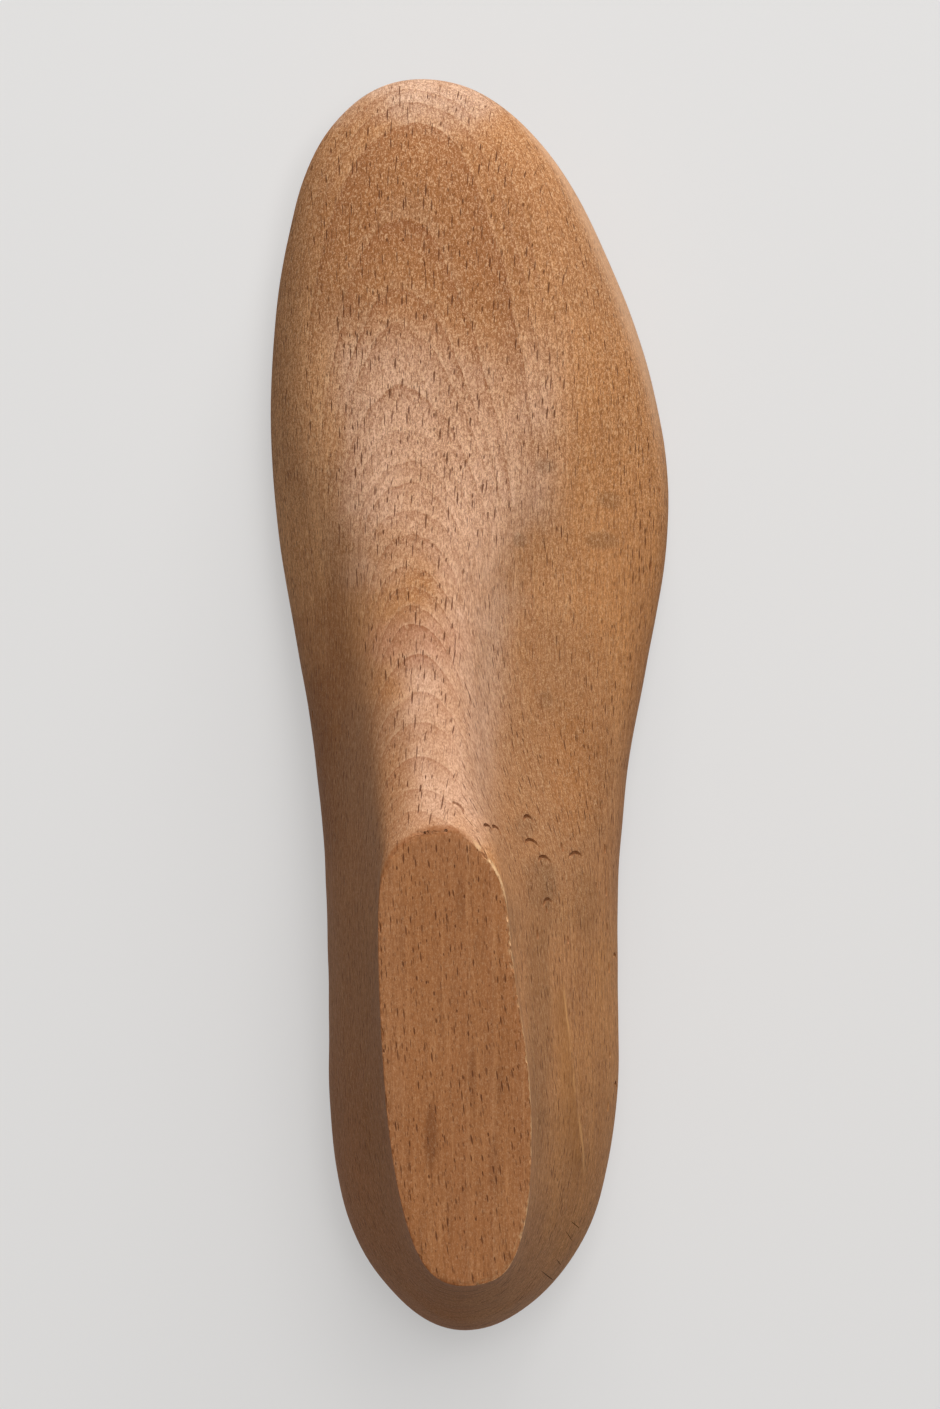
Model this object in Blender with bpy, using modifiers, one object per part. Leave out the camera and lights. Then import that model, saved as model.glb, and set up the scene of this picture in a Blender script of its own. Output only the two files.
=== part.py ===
"""Right-foot shoe last: a solid beech block with a steel heel plate let into its seat and nailed there.

The last stands on its sole, toe towards +Y, outer side of the foot towards +X, flat top face towards +Z.
The origin is on the floor, under the middle of the last's box. All sizes are in metres.
"""

import math

import bmesh
import bpy
import numpy as np
from mathutils import Vector

COLLECTION_NAME = "cobbler_last"

# Whole last
LAST_LENGTH = 0.280
HEEL_END = -LAST_LENGTH / 2
TOE_END = LAST_LENGTH / 2
TOP_FACE_HEIGHT = 0.080

# Where the toe and the heel are furthest out, across the last
TOE_TIP_OFFSET = -0.0105
HEEL_TIP_OFFSET = -0.0010

# Widest outline, seen from above: stations from the heel end or the toe end, and the reach across there
WIDEST_OUTER = [
    (TOE_END - 0.0095, 0.0117),
    (TOE_END - 0.0320, 0.0276),
    (TOE_END - 0.0600, 0.0390),
    (TOE_END - 0.0950, 0.0452),
    (HEEL_END + 0.1420, 0.0387),
    (HEEL_END + 0.1080, 0.0341),
    (HEEL_END + 0.0580, 0.0335),
    (HEEL_END + 0.0250, 0.0277),
    (HEEL_END + 0.0070, 0.0149),
]
WIDEST_INNER = [
    (TOE_END - 0.0150, -0.0341),
    (TOE_END - 0.0485, -0.0434),
    (TOE_END - 0.0750, -0.0452),
    (TOE_END - 0.1040, -0.0430),
    (HEEL_END + 0.1420, -0.0370),
    (HEEL_END + 0.1080, -0.0329),
    (HEEL_END + 0.0580, -0.0317),
    (HEEL_END + 0.0250, -0.0276),
    (HEEL_END + 0.0070, -0.0156),
]

# Height of the widest outline above the floor
WIDEST_HEIGHT_TOE = 0.0235
WIDEST_HEIGHT_HEEL = 0.0230
WIDEST_HEIGHT_OUTER = [
    (TOE_END - 0.0320, 0.0165),
    (TOE_END - 0.0950, 0.0105),
    (HEEL_END + 0.1250, 0.0150),
    (HEEL_END + 0.0450, 0.0190),
]
WIDEST_HEIGHT_INNER = [
    (TOE_END - 0.0320, 0.0180),
    (TOE_END - 0.0800, 0.0130),
    (HEEL_END + 0.1250, 0.0240),
    (HEEL_END + 0.0450, 0.0210),
]

# Feather edge, where the side turns under to the sole: set in from the widest outline, and its height
FEATHER_INSET_TOE = 0.0016
FEATHER_INSET_HEEL = 0.0042
FEATHER_INSET_OUTER = [
    (TOE_END - 0.0320, 0.0016),
    (TOE_END - 0.0950, 0.0022),
    (HEEL_END + 0.1250, 0.0040),
    (HEEL_END + 0.0450, 0.0030),
]
FEATHER_INSET_INNER = [
    (TOE_END - 0.0320, 0.0016),
    (TOE_END - 0.0750, 0.0026),
    (TOE_END - 0.1150, 0.0056),
    (HEEL_END + 0.1300, 0.0082),
    (HEEL_END + 0.0850, 0.0052),
    (HEEL_END + 0.0450, 0.0034),
]

# Sole, seen from the side: flat at the seat, arched in the waist, down again at the ball, sprung at the toe
SEAT_FRONT = HEEL_END + 0.064
BALL_LINE = TOE_END - 0.095
ARCH_HEIGHT = 0.0046
TOE_SPRING = 0.0155
TOE_SPRING_POWER = 1.9

# Middle line of the sole, where the last is lowest across its width
SOLE_SPINE_REAR = HEEL_END + 0.026
SOLE_SPINE_FRONT = TOE_END - 0.026
SOLE_SPINE_OFFSET = [
    (SOLE_SPINE_REAR, -0.0005),
    (HEEL_END + 0.100, 0.0020),
    (HEEL_END + 0.150, 0.0030),
    (TOE_END - 0.080, -0.0010),
    (SOLE_SPINE_FRONT, -0.0085),
]

# How far the feather edge lies above the middle line of the sole
EDGE_LIFT_TOE = 0.0008
EDGE_LIFT_HEEL = 0.0
EDGE_LIFT_OUTER = [
    (TOE_END - 0.0320, 0.0010),
    (TOE_END - 0.0950, 0.0016),
    (HEEL_END + 0.1250, 0.0006),
    (HEEL_END + 0.0800, 0.0),
    (HEEL_END + 0.0450, 0.0),
]
EDGE_LIFT_INNER = [
    (TOE_END - 0.0320, 0.0010),
    (TOE_END - 0.0800, 0.0014),
    (HEEL_END + 0.1250, 0.0030),
    (HEEL_END + 0.0800, 0.0),
    (HEEL_END + 0.0450, 0.0),
]

# Top face: it starts at this station on the crest, behind the instep
TOP_FACE_FRONT = HEEL_END + 0.113

# Shoulder line: the rim of the top face round the cone, running on as the shoulders of the instep and toe
SHOULDER_REAR = HEEL_END + 0.0151
SHOULDER_FRONT = TOE_END - 0.0130
SHOULDER_REAR_OFFSET = -0.0011
SHOULDER_FRONT_OFFSET = -0.0100
SHOULDER_OUTER = [
    (TOE_END - 0.030, 0.0120),
    (TOE_END - 0.055, 0.0205),
    (TOE_END - 0.090, 0.0200),
    (HEEL_END + 0.165, 0.0100),
    (HEEL_END + 0.140, 0.0042),
    (HEEL_END + 0.124, 0.0034),
    (HEEL_END + 0.112, 0.0052),
    (HEEL_END + 0.100, 0.0077),
    (HEEL_END + 0.089, 0.0086),
    (HEEL_END + 0.065, 0.0121),
    (HEEL_END + 0.044, 0.0133),
    (HEEL_END + 0.029, 0.0120),
    (HEEL_END + 0.0195, 0.0087),
    (HEEL_END + 0.0165, 0.0056),
]
SHOULDER_INNER = [
    (TOE_END - 0.030, -0.0285),
    (TOE_END - 0.060, -0.0350),
    (TOE_END - 0.090, -0.0345),
    (HEEL_END + 0.165, -0.0282),
    (HEEL_END + 0.140, -0.0236),
    (HEEL_END + 0.124, -0.0212),
    (HEEL_END + 0.112, -0.0197),
    (HEEL_END + 0.100, -0.0197),
    (HEEL_END + 0.089, -0.0197),
    (HEEL_END + 0.065, -0.0188),
    (HEEL_END + 0.044, -0.0169),
    (HEEL_END + 0.029, -0.0138),
    (HEEL_END + 0.0195, -0.0098),
]
SHOULDER_HEIGHT_TOE = 0.0335
SHOULDER_HEIGHT_OUTER = [
    (TOE_END - 0.040, 0.0340),
    (TOE_END - 0.070, 0.0346),
    (TOE_END - 0.095, 0.0366),
    (HEEL_END + 0.160, TOP_FACE_HEIGHT - 0.0360),
    (HEEL_END + 0.140, TOP_FACE_HEIGHT - 0.0270),
    (HEEL_END + 0.125, TOP_FACE_HEIGHT - 0.0180),
    (HEEL_END + 0.112, TOP_FACE_HEIGHT - 0.0080),
    (HEEL_END + 0.103, TOP_FACE_HEIGHT - 0.0025),
    (HEEL_END + 0.094, TOP_FACE_HEIGHT),
    (HEEL_END + 0.060, TOP_FACE_HEIGHT),
]
SHOULDER_HEIGHT_INNER = [
    (TOE_END - 0.040, 0.0340),
    (TOE_END - 0.070, 0.0352),
    (TOE_END - 0.095, 0.0383),
    (HEEL_END + 0.160, TOP_FACE_HEIGHT - 0.0345),
    (HEEL_END + 0.140, TOP_FACE_HEIGHT - 0.0250),
    (HEEL_END + 0.125, TOP_FACE_HEIGHT - 0.0157),
    (HEEL_END + 0.112, TOP_FACE_HEIGHT - 0.0066),
    (HEEL_END + 0.103, TOP_FACE_HEIGHT - 0.0018),
    (HEEL_END + 0.094, TOP_FACE_HEIGHT),
    (HEEL_END + 0.060, TOP_FACE_HEIGHT),
]

# How steeply the side climbs where it reaches the shoulder line, in degrees above level
SHOULDER_SLOPE_TOE = 24
SHOULDER_SLOPE_HEEL = 84
SHOULDER_SLOPE_OUTER = [
    (TOE_END - 0.040, 22),
    (TOE_END - 0.090, 30),
    (HEEL_END + 0.160, 44),
    (HEEL_END + 0.140, 60),
    (HEEL_END + 0.115, 74),
    (HEEL_END + 0.085, 80),
    (HEEL_END + 0.050, 82),
]
SHOULDER_SLOPE_INNER = [
    (TOE_END - 0.040, 33),
    (TOE_END - 0.090, 46),
    (HEEL_END + 0.160, 60),
    (HEEL_END + 0.140, 68),
    (HEEL_END + 0.115, 76),
    (HEEL_END + 0.085, 84),
    (HEEL_END + 0.050, 84),
]

# Crest: the ridge from the toe over the instep. Behind the front of the top face it is only a guide above the
# wood, and the sides rise towards it as far as the top face.
CREST_REAR = HEEL_END + 0.030
CREST_FRONT = TOE_END - 0.036
CREST_OFFSET = [
    (CREST_REAR, -0.0010),
    (HEEL_END + 0.080, -0.0035),
    (HEEL_END + 0.112, -0.0050),
    (HEEL_END + 0.150, -0.0095),
    (TOE_END - 0.080, -0.0118),
    (CREST_FRONT, -0.0095),
]
CREST_PROFILE = [
    (CREST_REAR, TOP_FACE_HEIGHT + 0.0160),
    (HEEL_END + 0.070, TOP_FACE_HEIGHT + 0.0170),
    (HEEL_END + 0.095, TOP_FACE_HEIGHT + 0.0100),
    (TOP_FACE_FRONT, TOP_FACE_HEIGHT),
    (HEEL_END + 0.125, TOP_FACE_HEIGHT - 0.0075),
    (HEEL_END + 0.140, TOP_FACE_HEIGHT - 0.0155),
    (HEEL_END + 0.165, TOP_FACE_HEIGHT - 0.0245),
    (TOE_END - 0.090, 0.0480),
    (TOE_END - 0.065, 0.0427),
    (CREST_FRONT, 0.0388),
]

# How full the section is on its way up: lengths of the pull that each curve has at its ends
WIDEST_PULL = 0.9
SHOULDER_PULL = 0.9
CREST_PULL = 1.15

# Heel plate: a D-shaped steel plate let into the seat, flush with it
FIT_GAP = 0.0003
PLATE_THICKNESS = 0.0022
PLATE_FRONT = SEAT_FRONT - 0.004
PLATE_MARGIN = 0.0045
PLATE_CORNER_RADIUS = 0.004

# Nails: countersunk in the plate, driven up into the wood
NAIL_LENGTH = 0.018
NAIL_POINT_LENGTH = 0.004
NAIL_POINT_RADIUS = 0.0003
NAIL_SHANK_RADIUS = 0.0013
NAIL_HEAD_RADIUS = 0.0028
NAIL_HEAD_TAPER = 0.0015
NAIL_HEAD_RIM = 0.0002
NAIL_SINK = 0.0001
NAIL_INSET = 0.0065
NAIL_ROWS = [PLATE_FRONT - 0.007, PLATE_FRONT - 0.027]

# Cutting: how far each cutter passes the surface it cuts
OVERCUT = 0.005

# Mesh density: ribs on each side, in front of the top face and beside it, and steps along each rib
FRONT_RIBS = 40
FRONT_SPREAD = 1.25
REAR_RIBS = 34
REAR_SPREAD = 1.5
SOLE_STEPS = 6
SIDE_STEPS = 4
WALL_STEPS = 12
CROWN_STEPS = 9
GUIDE_STEPS = 60
RIM_BAND = 0.008
PLATE_STEPS = 100
CORNER_STEPS = 4
NAIL_STEPS = 16
WELD = 1e-6
SLOPE_STEP = 1e-3
SHARP_ANGLE = math.radians(25)

# Easing of the crown round the front end of the crest, where all ribs meet
EASE_REACH = 0.032
EASE_PASSES = 12
EASE_FACTOR = 0.5

# Materials: colour, roughness, metallic
BEECH = ("beech", (0.52, 0.27, 0.12, 1.0), 0.55, 0.0)
PLATE_STEEL = ("plate_steel", (0.30, 0.29, 0.28, 1.0), 0.45, 1.0)
NAIL_STEEL = ("nail_steel", (0.22, 0.21, 0.20, 1.0), 0.50, 1.0)


def clear_scene():
    for obj in list(bpy.data.objects):
        bpy.data.objects.remove(obj)


def make_collection(name):
    collection = bpy.data.collections.new(name)
    bpy.context.scene.collection.children.link(collection)
    return collection


def make_material(name, color, roughness, metallic):
    material = bpy.data.materials.new(name)
    material.use_nodes = True
    shader = material.node_tree.nodes["Principled BSDF"]
    shader.inputs["Base Color"].default_value = color
    shader.inputs["Roughness"].default_value = roughness
    shader.inputs["Metallic"].default_value = metallic
    return material


def spline(knots, values, period=None):
    """A cubic spline through the knots, natural at its ends or closed on itself after one period."""
    order = np.argsort(knots)
    knots = np.array(knots, float)[order]
    values = np.array(values, float)[order]
    if period:
        knots = np.append(knots, knots[0] + period)
        values = np.append(values, values[0])
    count = len(knots)
    gaps = np.diff(knots)
    slopes = np.diff(values) / gaps
    matrix = np.zeros((count, count))
    jumps = np.zeros(count)
    for i in range(1, count - 1):
        matrix[i, i - 1 : i + 2] = gaps[i - 1], 2 * (gaps[i - 1] + gaps[i]), gaps[i]
        jumps[i] = 6 * (slopes[i] - slopes[i - 1])
    if period:
        matrix[0, 0], matrix[0, -1] = 1, -1
        matrix[-1, :2] = 2 * gaps[0], gaps[0]
        matrix[-1, -2:] = gaps[-1], 2 * gaps[-1]
        jumps[-1] = 6 * (slopes[0] - slopes[-1])
    else:
        matrix[0, 0] = matrix[-1, -1] = 1
    bends = np.linalg.solve(matrix, jumps)

    def value_at(place):
        if period:
            place = knots[0] + np.mod(place - knots[0], period)
        else:
            place = np.clip(place, knots[0], knots[-1])
        i = np.clip(np.searchsorted(knots, place, side="right") - 1, 0, count - 2)
        left, right = place - knots[i], knots[i + 1] - place
        return (
            (bends[i] * right**3 + bends[i + 1] * left**3) / (6 * gaps[i])
            + (values[i] / gaps[i] - bends[i] * gaps[i] / 6) * right
            + (values[i + 1] / gaps[i] - bends[i + 1] * gaps[i] / 6) * left
        )

    return value_at


class Ring:
    """A closed line round the last. Its angle is 0 at the toe and pi at the heel, outer side first."""

    def __init__(self, rear, front):
        self.middle = (rear + front) / 2
        self.half = (front - rear) / 2

    def y(self, angle):
        return self.middle + self.half * np.cos(angle)

    def angle(self, station):
        return math.acos((station - self.middle) / self.half)

    def line(self, toe, heel, outer, inner):
        angles = [0.0, math.pi]
        values = [toe, heel]
        for station, value in outer:
            angles.append(self.angle(station))
            values.append(value)
        for station, value in inner:
            angles.append(2 * math.pi - self.angle(station))
            values.append(value)
        return spline(angles, values, period=2 * math.pi)


def unit(vectors):
    return vectors / length(vectors)[:, None]


def length(vectors):
    return np.linalg.norm(vectors, axis=1)


def crest_points(angle):
    """The crest under each rib, and the way the crest climbs there."""
    y = Ring(CREST_REAR, CREST_FRONT).y(angle)
    offset = spline(*zip(*CREST_OFFSET))
    height = spline(*zip(*CREST_PROFILE))
    ahead, behind = y + SLOPE_STEP, y - SLOPE_STEP
    climb = (height(ahead) - height(behind)) / (2 * SLOPE_STEP)
    return np.stack([offset(y), y, height(y)], axis=1), climb


def sole_height(y):
    """Height of the middle line of the sole above the floor."""
    waist = np.clip((y - SEAT_FRONT) / (BALL_LINE - SEAT_FRONT), 0.0, 1.0)
    toe = np.clip((y - BALL_LINE) / (TOE_END - BALL_LINE), 0.0, 1.0)
    return ARCH_HEIGHT * np.sin(math.pi * waist) ** 2 + TOE_SPRING * toe**TOE_SPRING_POWER


def sole_spine_points(angle):
    y = Ring(SOLE_SPINE_REAR, SOLE_SPINE_FRONT).y(angle)
    return np.stack([spline(*zip(*SOLE_SPINE_OFFSET))(y), y, sole_height(y)], axis=1)


def widest_points(angle):
    ring = Ring(HEEL_END, TOE_END)
    across = ring.line(TOE_TIP_OFFSET, HEEL_TIP_OFFSET, WIDEST_OUTER, WIDEST_INNER)
    height = ring.line(WIDEST_HEIGHT_TOE, WIDEST_HEIGHT_HEEL, WIDEST_HEIGHT_OUTER, WIDEST_HEIGHT_INNER)
    return np.stack([across(angle), ring.y(angle), height(angle)], axis=1)


def feather_points(angle, margin=0.0):
    """The feather edge, or the line on the sole that lies a margin inside it."""
    ring = Ring(HEEL_END, TOE_END)
    inset = ring.line(FEATHER_INSET_TOE, FEATHER_INSET_HEEL, FEATHER_INSET_OUTER, FEATHER_INSET_INNER)
    lift = ring.line(EDGE_LIFT_TOE, EDGE_LIFT_HEEL, EDGE_LIFT_OUTER, EDGE_LIFT_INNER)
    widest = widest_points(angle)
    along = widest_points(angle + SLOPE_STEP) - widest_points(angle - SLOPE_STEP)
    inward = unit(np.stack([along[:, 1], -along[:, 0], 0 * angle], axis=1))
    points = widest + inward * (inset(angle) + margin)[:, None]
    points[:, 2] = sole_height(points[:, 1]) + np.maximum(lift(angle), 0.0)
    return points


def shoulder_points(angle):
    ring = Ring(SHOULDER_REAR, SHOULDER_FRONT)
    across = ring.line(SHOULDER_FRONT_OFFSET, SHOULDER_REAR_OFFSET, SHOULDER_OUTER, SHOULDER_INNER)
    height = ring.line(SHOULDER_HEIGHT_TOE, TOP_FACE_HEIGHT, SHOULDER_HEIGHT_OUTER, SHOULDER_HEIGHT_INNER)
    slope = ring.line(SHOULDER_SLOPE_TOE, SHOULDER_SLOPE_HEEL, SHOULDER_SLOPE_OUTER, SHOULDER_SLOPE_INNER)
    return np.stack([across(angle), ring.y(angle), height(angle)], axis=1), np.radians(slope(angle))


def hermite(start, end, start_pull, end_pull, share):
    """The point at this share of the way along a curve that leaves and arrives with the pulls given."""
    square, cube = share**2, share**3
    return (
        (2 * cube - 3 * square + 1) * start
        + (cube - 2 * square + share) * start_pull
        + (3 * square - 2 * cube) * end
        + (cube - square) * end_pull
    )


def rib_angles():
    """Angles of the ribs, closest together at the tip of the top face. One rib on each side ends on it."""
    crest = Ring(CREST_REAR, CREST_FRONT)
    tip = crest.angle(TOP_FACE_FRONT)
    front = tip * (1 - np.linspace(1, 0, FRONT_RIBS, endpoint=False) ** FRONT_SPREAD)
    rear = tip + (math.pi - tip) * np.linspace(0, 1, REAR_RIBS, endpoint=False) ** REAR_SPREAD
    outer = np.concatenate([front, rear])
    return np.concatenate([outer, [math.pi], 2 * math.pi - outer[:0:-1]])


def sawn_rib(path):
    """Steps along a rib, from the widest outline to the crest, or to the top face if that is lower.

    They are even up to the shoulder and again beyond it, with a band of its own below the rim of the top face.
    """
    reach = np.concatenate([[0.0], np.cumsum(length(np.diff(path, axis=0)))])
    end = reach[-1]
    if path[-1, 2] > TOP_FACE_HEIGHT + WELD:
        past = np.argmax(path[:, 2] > TOP_FACE_HEIGHT)
        end = np.interp(TOP_FACE_HEIGHT, path[past - 1 : past + 1, 2], reach[past - 1 : past + 1])
    turn = min(reach[GUIDE_STEPS], end - RIM_BAND)
    wall = np.linspace(0.0, turn, WALL_STEPS, endpoint=False)
    steps = np.concatenate([wall, np.linspace(turn, end, CROWN_STEPS + 1)])
    rib = np.stack([np.interp(steps, reach, path[:, axis]) for axis in range(3)], axis=1)
    rib[:, 2] = np.minimum(rib[:, 2], TOP_FACE_HEIGHT)
    return rib


def last_rings(angle):
    """Closed rings of points, from the middle line of the sole to the crest and the rim of the top face."""
    spine = sole_spine_points(angle)
    feather = feather_points(angle)
    widest = widest_points(angle)
    shoulder, slope = shoulder_points(angle)
    crest, climb = crest_points(angle)
    edge_lift = feather[:, 2] - sole_height(feather[:, 1])
    up = np.array([0.0, 0.0, 1.0])

    rings = []
    for step in range(SOLE_STEPS):
        share = step / SOLE_STEPS
        ring = spine + (feather - spine) * share
        ring[:, 2] = sole_height(ring[:, 1]) + edge_lift * share**2
        rings.append(ring)

    inward = crest - shoulder
    inward[:, 2] = 0
    inward = unit(inward)
    rise = inward * np.cos(slope)[:, None] + up * np.sin(slope)[:, None]
    level = inward.copy()
    level[:, 2] = climb * inward[:, 1]

    side = length(widest - feather)[:, None]
    for step in range(SIDE_STEPS):
        rings.append(hermite(feather, widest, widest - feather, up * side, step / SIDE_STEPS))

    wall = length(shoulder - widest)[:, None]
    crown = length(crest - shoulder)[:, None]
    guide = []
    for step in range(GUIDE_STEPS):
        start_pull, end_pull = up * wall * WIDEST_PULL, rise * wall * SHOULDER_PULL
        guide.append(hermite(widest, shoulder, start_pull, end_pull, step / GUIDE_STEPS))
    for step in range(GUIDE_STEPS + 1):
        start_pull, end_pull = rise * crown * SHOULDER_PULL, level * crown * CREST_PULL
        guide.append(hermite(shoulder, crest, start_pull, end_pull, step / GUIDE_STEPS))
    ribs = [sawn_rib(path) for path in np.stack(guide, axis=1)]
    return rings + list(np.stack(ribs, axis=1))


def ease_crown(bm):
    """Smooth the crown near the front end of the crest, and less and less away from it."""
    end = Vector(crest_points(np.array([0.0]))[0][0])
    near = [vert for vert in bm.verts if (vert.co - end).length < EASE_REACH]
    for _ in range(EASE_PASSES):
        moves = []
        for vert in near:
            around = [edge.other_vert(vert).co for edge in vert.link_edges]
            middle = sum(around, Vector()) / len(around)
            share = 1 - (vert.co - end).length / EASE_REACH
            moves.append((middle - vert.co) * EASE_FACTOR * max(share, 0.0))
        for vert, move in zip(near, moves):
            vert.co += move


def last_mesh(name, rings):
    """A closed mesh through the rings. The two sides meet along the sole and along the crest."""
    mesh = bpy.data.meshes.new(name)
    bm = bmesh.new()
    rows = [[bm.verts.new(point) for point in ring] for ring in rings]
    for lower, upper in zip(rows, rows[1:]):
        for i in range(len(lower)):
            bm.faces.new((lower[i - 1], upper[i - 1], upper[i], lower[i]))
    bmesh.ops.remove_doubles(bm, verts=rows[0] + rows[-1], dist=WELD)
    ease_crown(bm)
    # What is left open is the top face
    bmesh.ops.holes_fill(bm, edges=bm.edges)
    bmesh.ops.recalc_face_normals(bm, faces=bm.faces)
    bm.to_mesh(mesh)
    bm.free()
    mesh.shade_smooth()
    mesh.set_sharp_from_angle(angle=SHARP_ANGLE)
    return mesh


def plate_edge(inset):
    """The curved edge of the plate moved inwards: its outer and its inner side, each from front to rear."""
    outer = feather_points(np.linspace(0.0, math.pi, PLATE_STEPS), PLATE_MARGIN + inset)
    inner = feather_points(np.linspace(2 * math.pi, math.pi, PLATE_STEPS), PLATE_MARGIN + inset)
    return outer[:, :2], inner[:, :2]


def at_station(side, station):
    return np.interp(station, side[::-1, 1], side[::-1, 0]), station


def plate_mesh(name, grow, bottom, top):
    """The plate's D shape, grown by a gap, between two heights."""
    outer, inner = plate_edge(-grow)
    front = PLATE_FRONT + grow
    radius = PLATE_CORNER_RADIUS + grow
    outer_side = [point for point in outer if point[1] < front - radius]
    inner_side = [point for point in inner[:-1] if point[1] < front - radius]
    outline = [at_station(outer, front), *outer_side, *inner_side[::-1], at_station(inner, front)]

    mesh = bpy.data.meshes.new(name)
    bm = bmesh.new()
    verts = [bm.verts.new((x, y, bottom)) for x, y in outline]
    bm.faces.new(verts)
    corners = [verts[0], verts[-1]]
    bmesh.ops.bevel(bm, geom=corners, affect="VERTICES", offset=radius, segments=CORNER_STEPS, profile=0.5)
    bmesh.ops.remove_doubles(bm, verts=bm.verts, dist=WELD)
    raised = bmesh.ops.extrude_face_region(bm, geom=list(bm.faces))
    for item in raised["geom"]:
        if isinstance(item, bmesh.types.BMVert):
            item.co.z = top
    bmesh.ops.recalc_face_normals(bm, faces=bm.faces)
    bm.to_mesh(mesh)
    bm.free()
    return mesh


def nail_spots():
    """One nail behind the middle of the plate, and a pair in each row along its sides."""
    outer, inner = plate_edge(NAIL_INSET)
    pairs = [at_station(side, row) for row in NAIL_ROWS for side in (outer, inner)]
    return [tuple(outer[-1]), *pairs]


def nail_profile(grow, bottom):
    """Half outline of a nail grown by a gap, from its point down to its head."""
    head = NAIL_SINK + NAIL_HEAD_RIM + grow
    return [
        (0.0, NAIL_LENGTH + grow),
        (NAIL_POINT_RADIUS + grow, NAIL_LENGTH + grow),
        (NAIL_SHANK_RADIUS + grow, NAIL_LENGTH - NAIL_POINT_LENGTH),
        (NAIL_SHANK_RADIUS + grow, head + NAIL_HEAD_TAPER),
        (NAIL_HEAD_RADIUS + grow, head),
        (NAIL_HEAD_RADIUS + grow, bottom),
        (0.0, bottom),
    ]


def add_object(name, mesh, collection, material=None):
    obj = bpy.data.objects.new(name, mesh)
    collection.objects.link(obj)
    if material:
        mesh.materials.append(material)
    return obj


def add_turned(name, profile, spot, collection, material=None):
    """A solid turned about its own upright axis, standing at a spot."""
    mesh = bpy.data.meshes.new(name)
    edges = [(i, i + 1) for i in range(len(profile) - 1)]
    mesh.from_pydata([(radius, 0.0, height) for radius, height in profile], edges, [])
    obj = add_object(name, mesh, collection, material)
    obj.location = (*spot, 0.0)
    turn = obj.modifiers.new("turn", "SCREW")
    turn.steps = NAIL_STEPS
    turn.render_steps = NAIL_STEPS
    turn.use_merge_vertices = True
    turn.merge_threshold = WELD
    return obj


def hide_cutter(obj):
    obj.hide_render = True
    obj.display_type = "WIRE"


def cut(obj, cutter):
    step = obj.modifiers.new(cutter.name, "BOOLEAN")
    step.operation = "DIFFERENCE"
    step.solver = "EXACT"
    step.object = cutter


clear_scene()
parts = make_collection(COLLECTION_NAME)
cutters = make_collection("cutters")
beech = make_material(*BEECH)
plate_steel = make_material(*PLATE_STEEL)
nail_steel = make_material(*NAIL_STEEL)

# Beech body
body = add_object("last_body", last_mesh("last_body", last_rings(rib_angles())), parts, beech)

# Heel plate, and the recess that it lies in
plate = add_object("heel_plate", plate_mesh("heel_plate", 0.0, 0.0, PLATE_THICKNESS), parts, plate_steel)
recess_mesh = plate_mesh("plate_recess", FIT_GAP, -OVERCUT, PLATE_THICKNESS + FIT_GAP)
recess = add_object("plate_recess", recess_mesh, cutters)
hide_cutter(recess)
cut(body, recess)

# Nails, and their holes through the plate into the wood
for number, spot in enumerate(nail_spots(), start=1):
    add_turned(f"heel_plate_nail_{number}", nail_profile(0.0, NAIL_SINK), spot, parts, nail_steel)
    hole = add_turned(f"nail_hole_{number}", nail_profile(FIT_GAP, -OVERCUT), spot, cutters)
    hide_cutter(hole)
    cut(plate, hole)
    cut(body, hole)
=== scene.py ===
import math
import random

import bpy
from mathutils import Matrix, Vector
from mathutils.bvhtree import BVHTree
from mathutils.kdtree import KDTree


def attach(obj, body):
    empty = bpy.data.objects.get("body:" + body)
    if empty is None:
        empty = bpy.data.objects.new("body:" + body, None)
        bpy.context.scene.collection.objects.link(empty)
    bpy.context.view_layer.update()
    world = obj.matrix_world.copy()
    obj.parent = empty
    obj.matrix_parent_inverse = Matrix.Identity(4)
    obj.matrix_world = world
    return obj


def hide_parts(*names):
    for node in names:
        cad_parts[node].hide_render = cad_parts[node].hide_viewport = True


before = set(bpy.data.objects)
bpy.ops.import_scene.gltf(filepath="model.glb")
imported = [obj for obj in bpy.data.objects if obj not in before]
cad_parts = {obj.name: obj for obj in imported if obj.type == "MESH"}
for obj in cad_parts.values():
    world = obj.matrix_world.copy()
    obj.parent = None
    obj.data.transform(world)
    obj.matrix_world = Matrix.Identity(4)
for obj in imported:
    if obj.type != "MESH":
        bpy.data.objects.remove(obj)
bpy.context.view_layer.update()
bpy.ops.object.select_all(action="DESELECT")

# Beech body
# The last is one block of steamed beech with its grain running from heel to toe. It was turned on a copying
# lathe, then rasped and sanded by hand, and its cone was sawn off flat. The seat is routed for the steel plate.
SAWN_HEIGHT = 0.080
SAWN_FACE = SAWN_HEIGHT - 0.0001
SAWN_EDGE = SAWN_HEIGHT - 0.0003
SAWN_BAND = 0.0014
SAWN_GRID_SPAN = 8
SAME_POINT = 0.00001
FACING_UP = 0.999
FLAT_QUAD = math.radians(40)
EVEN_QUAD = math.radians(60)
SHARP_EDGE = math.radians(25)
RIM_ROUNDING = 0.00045
FEATHER_ROUNDING = 0.0007
ROUTED_ROUNDING = 0.00012
FEATHER_END = 0.106
FEATHER_FADE = (0.095, 0.100, 0.105, 0.110, 0.115, 0.120, 0.125)
SEAT_REACH = 0.0009


def only(obj):
    bpy.ops.object.select_all(action="DESELECT")
    obj.select_set(True)
    bpy.context.view_layer.objects.active = obj


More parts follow.
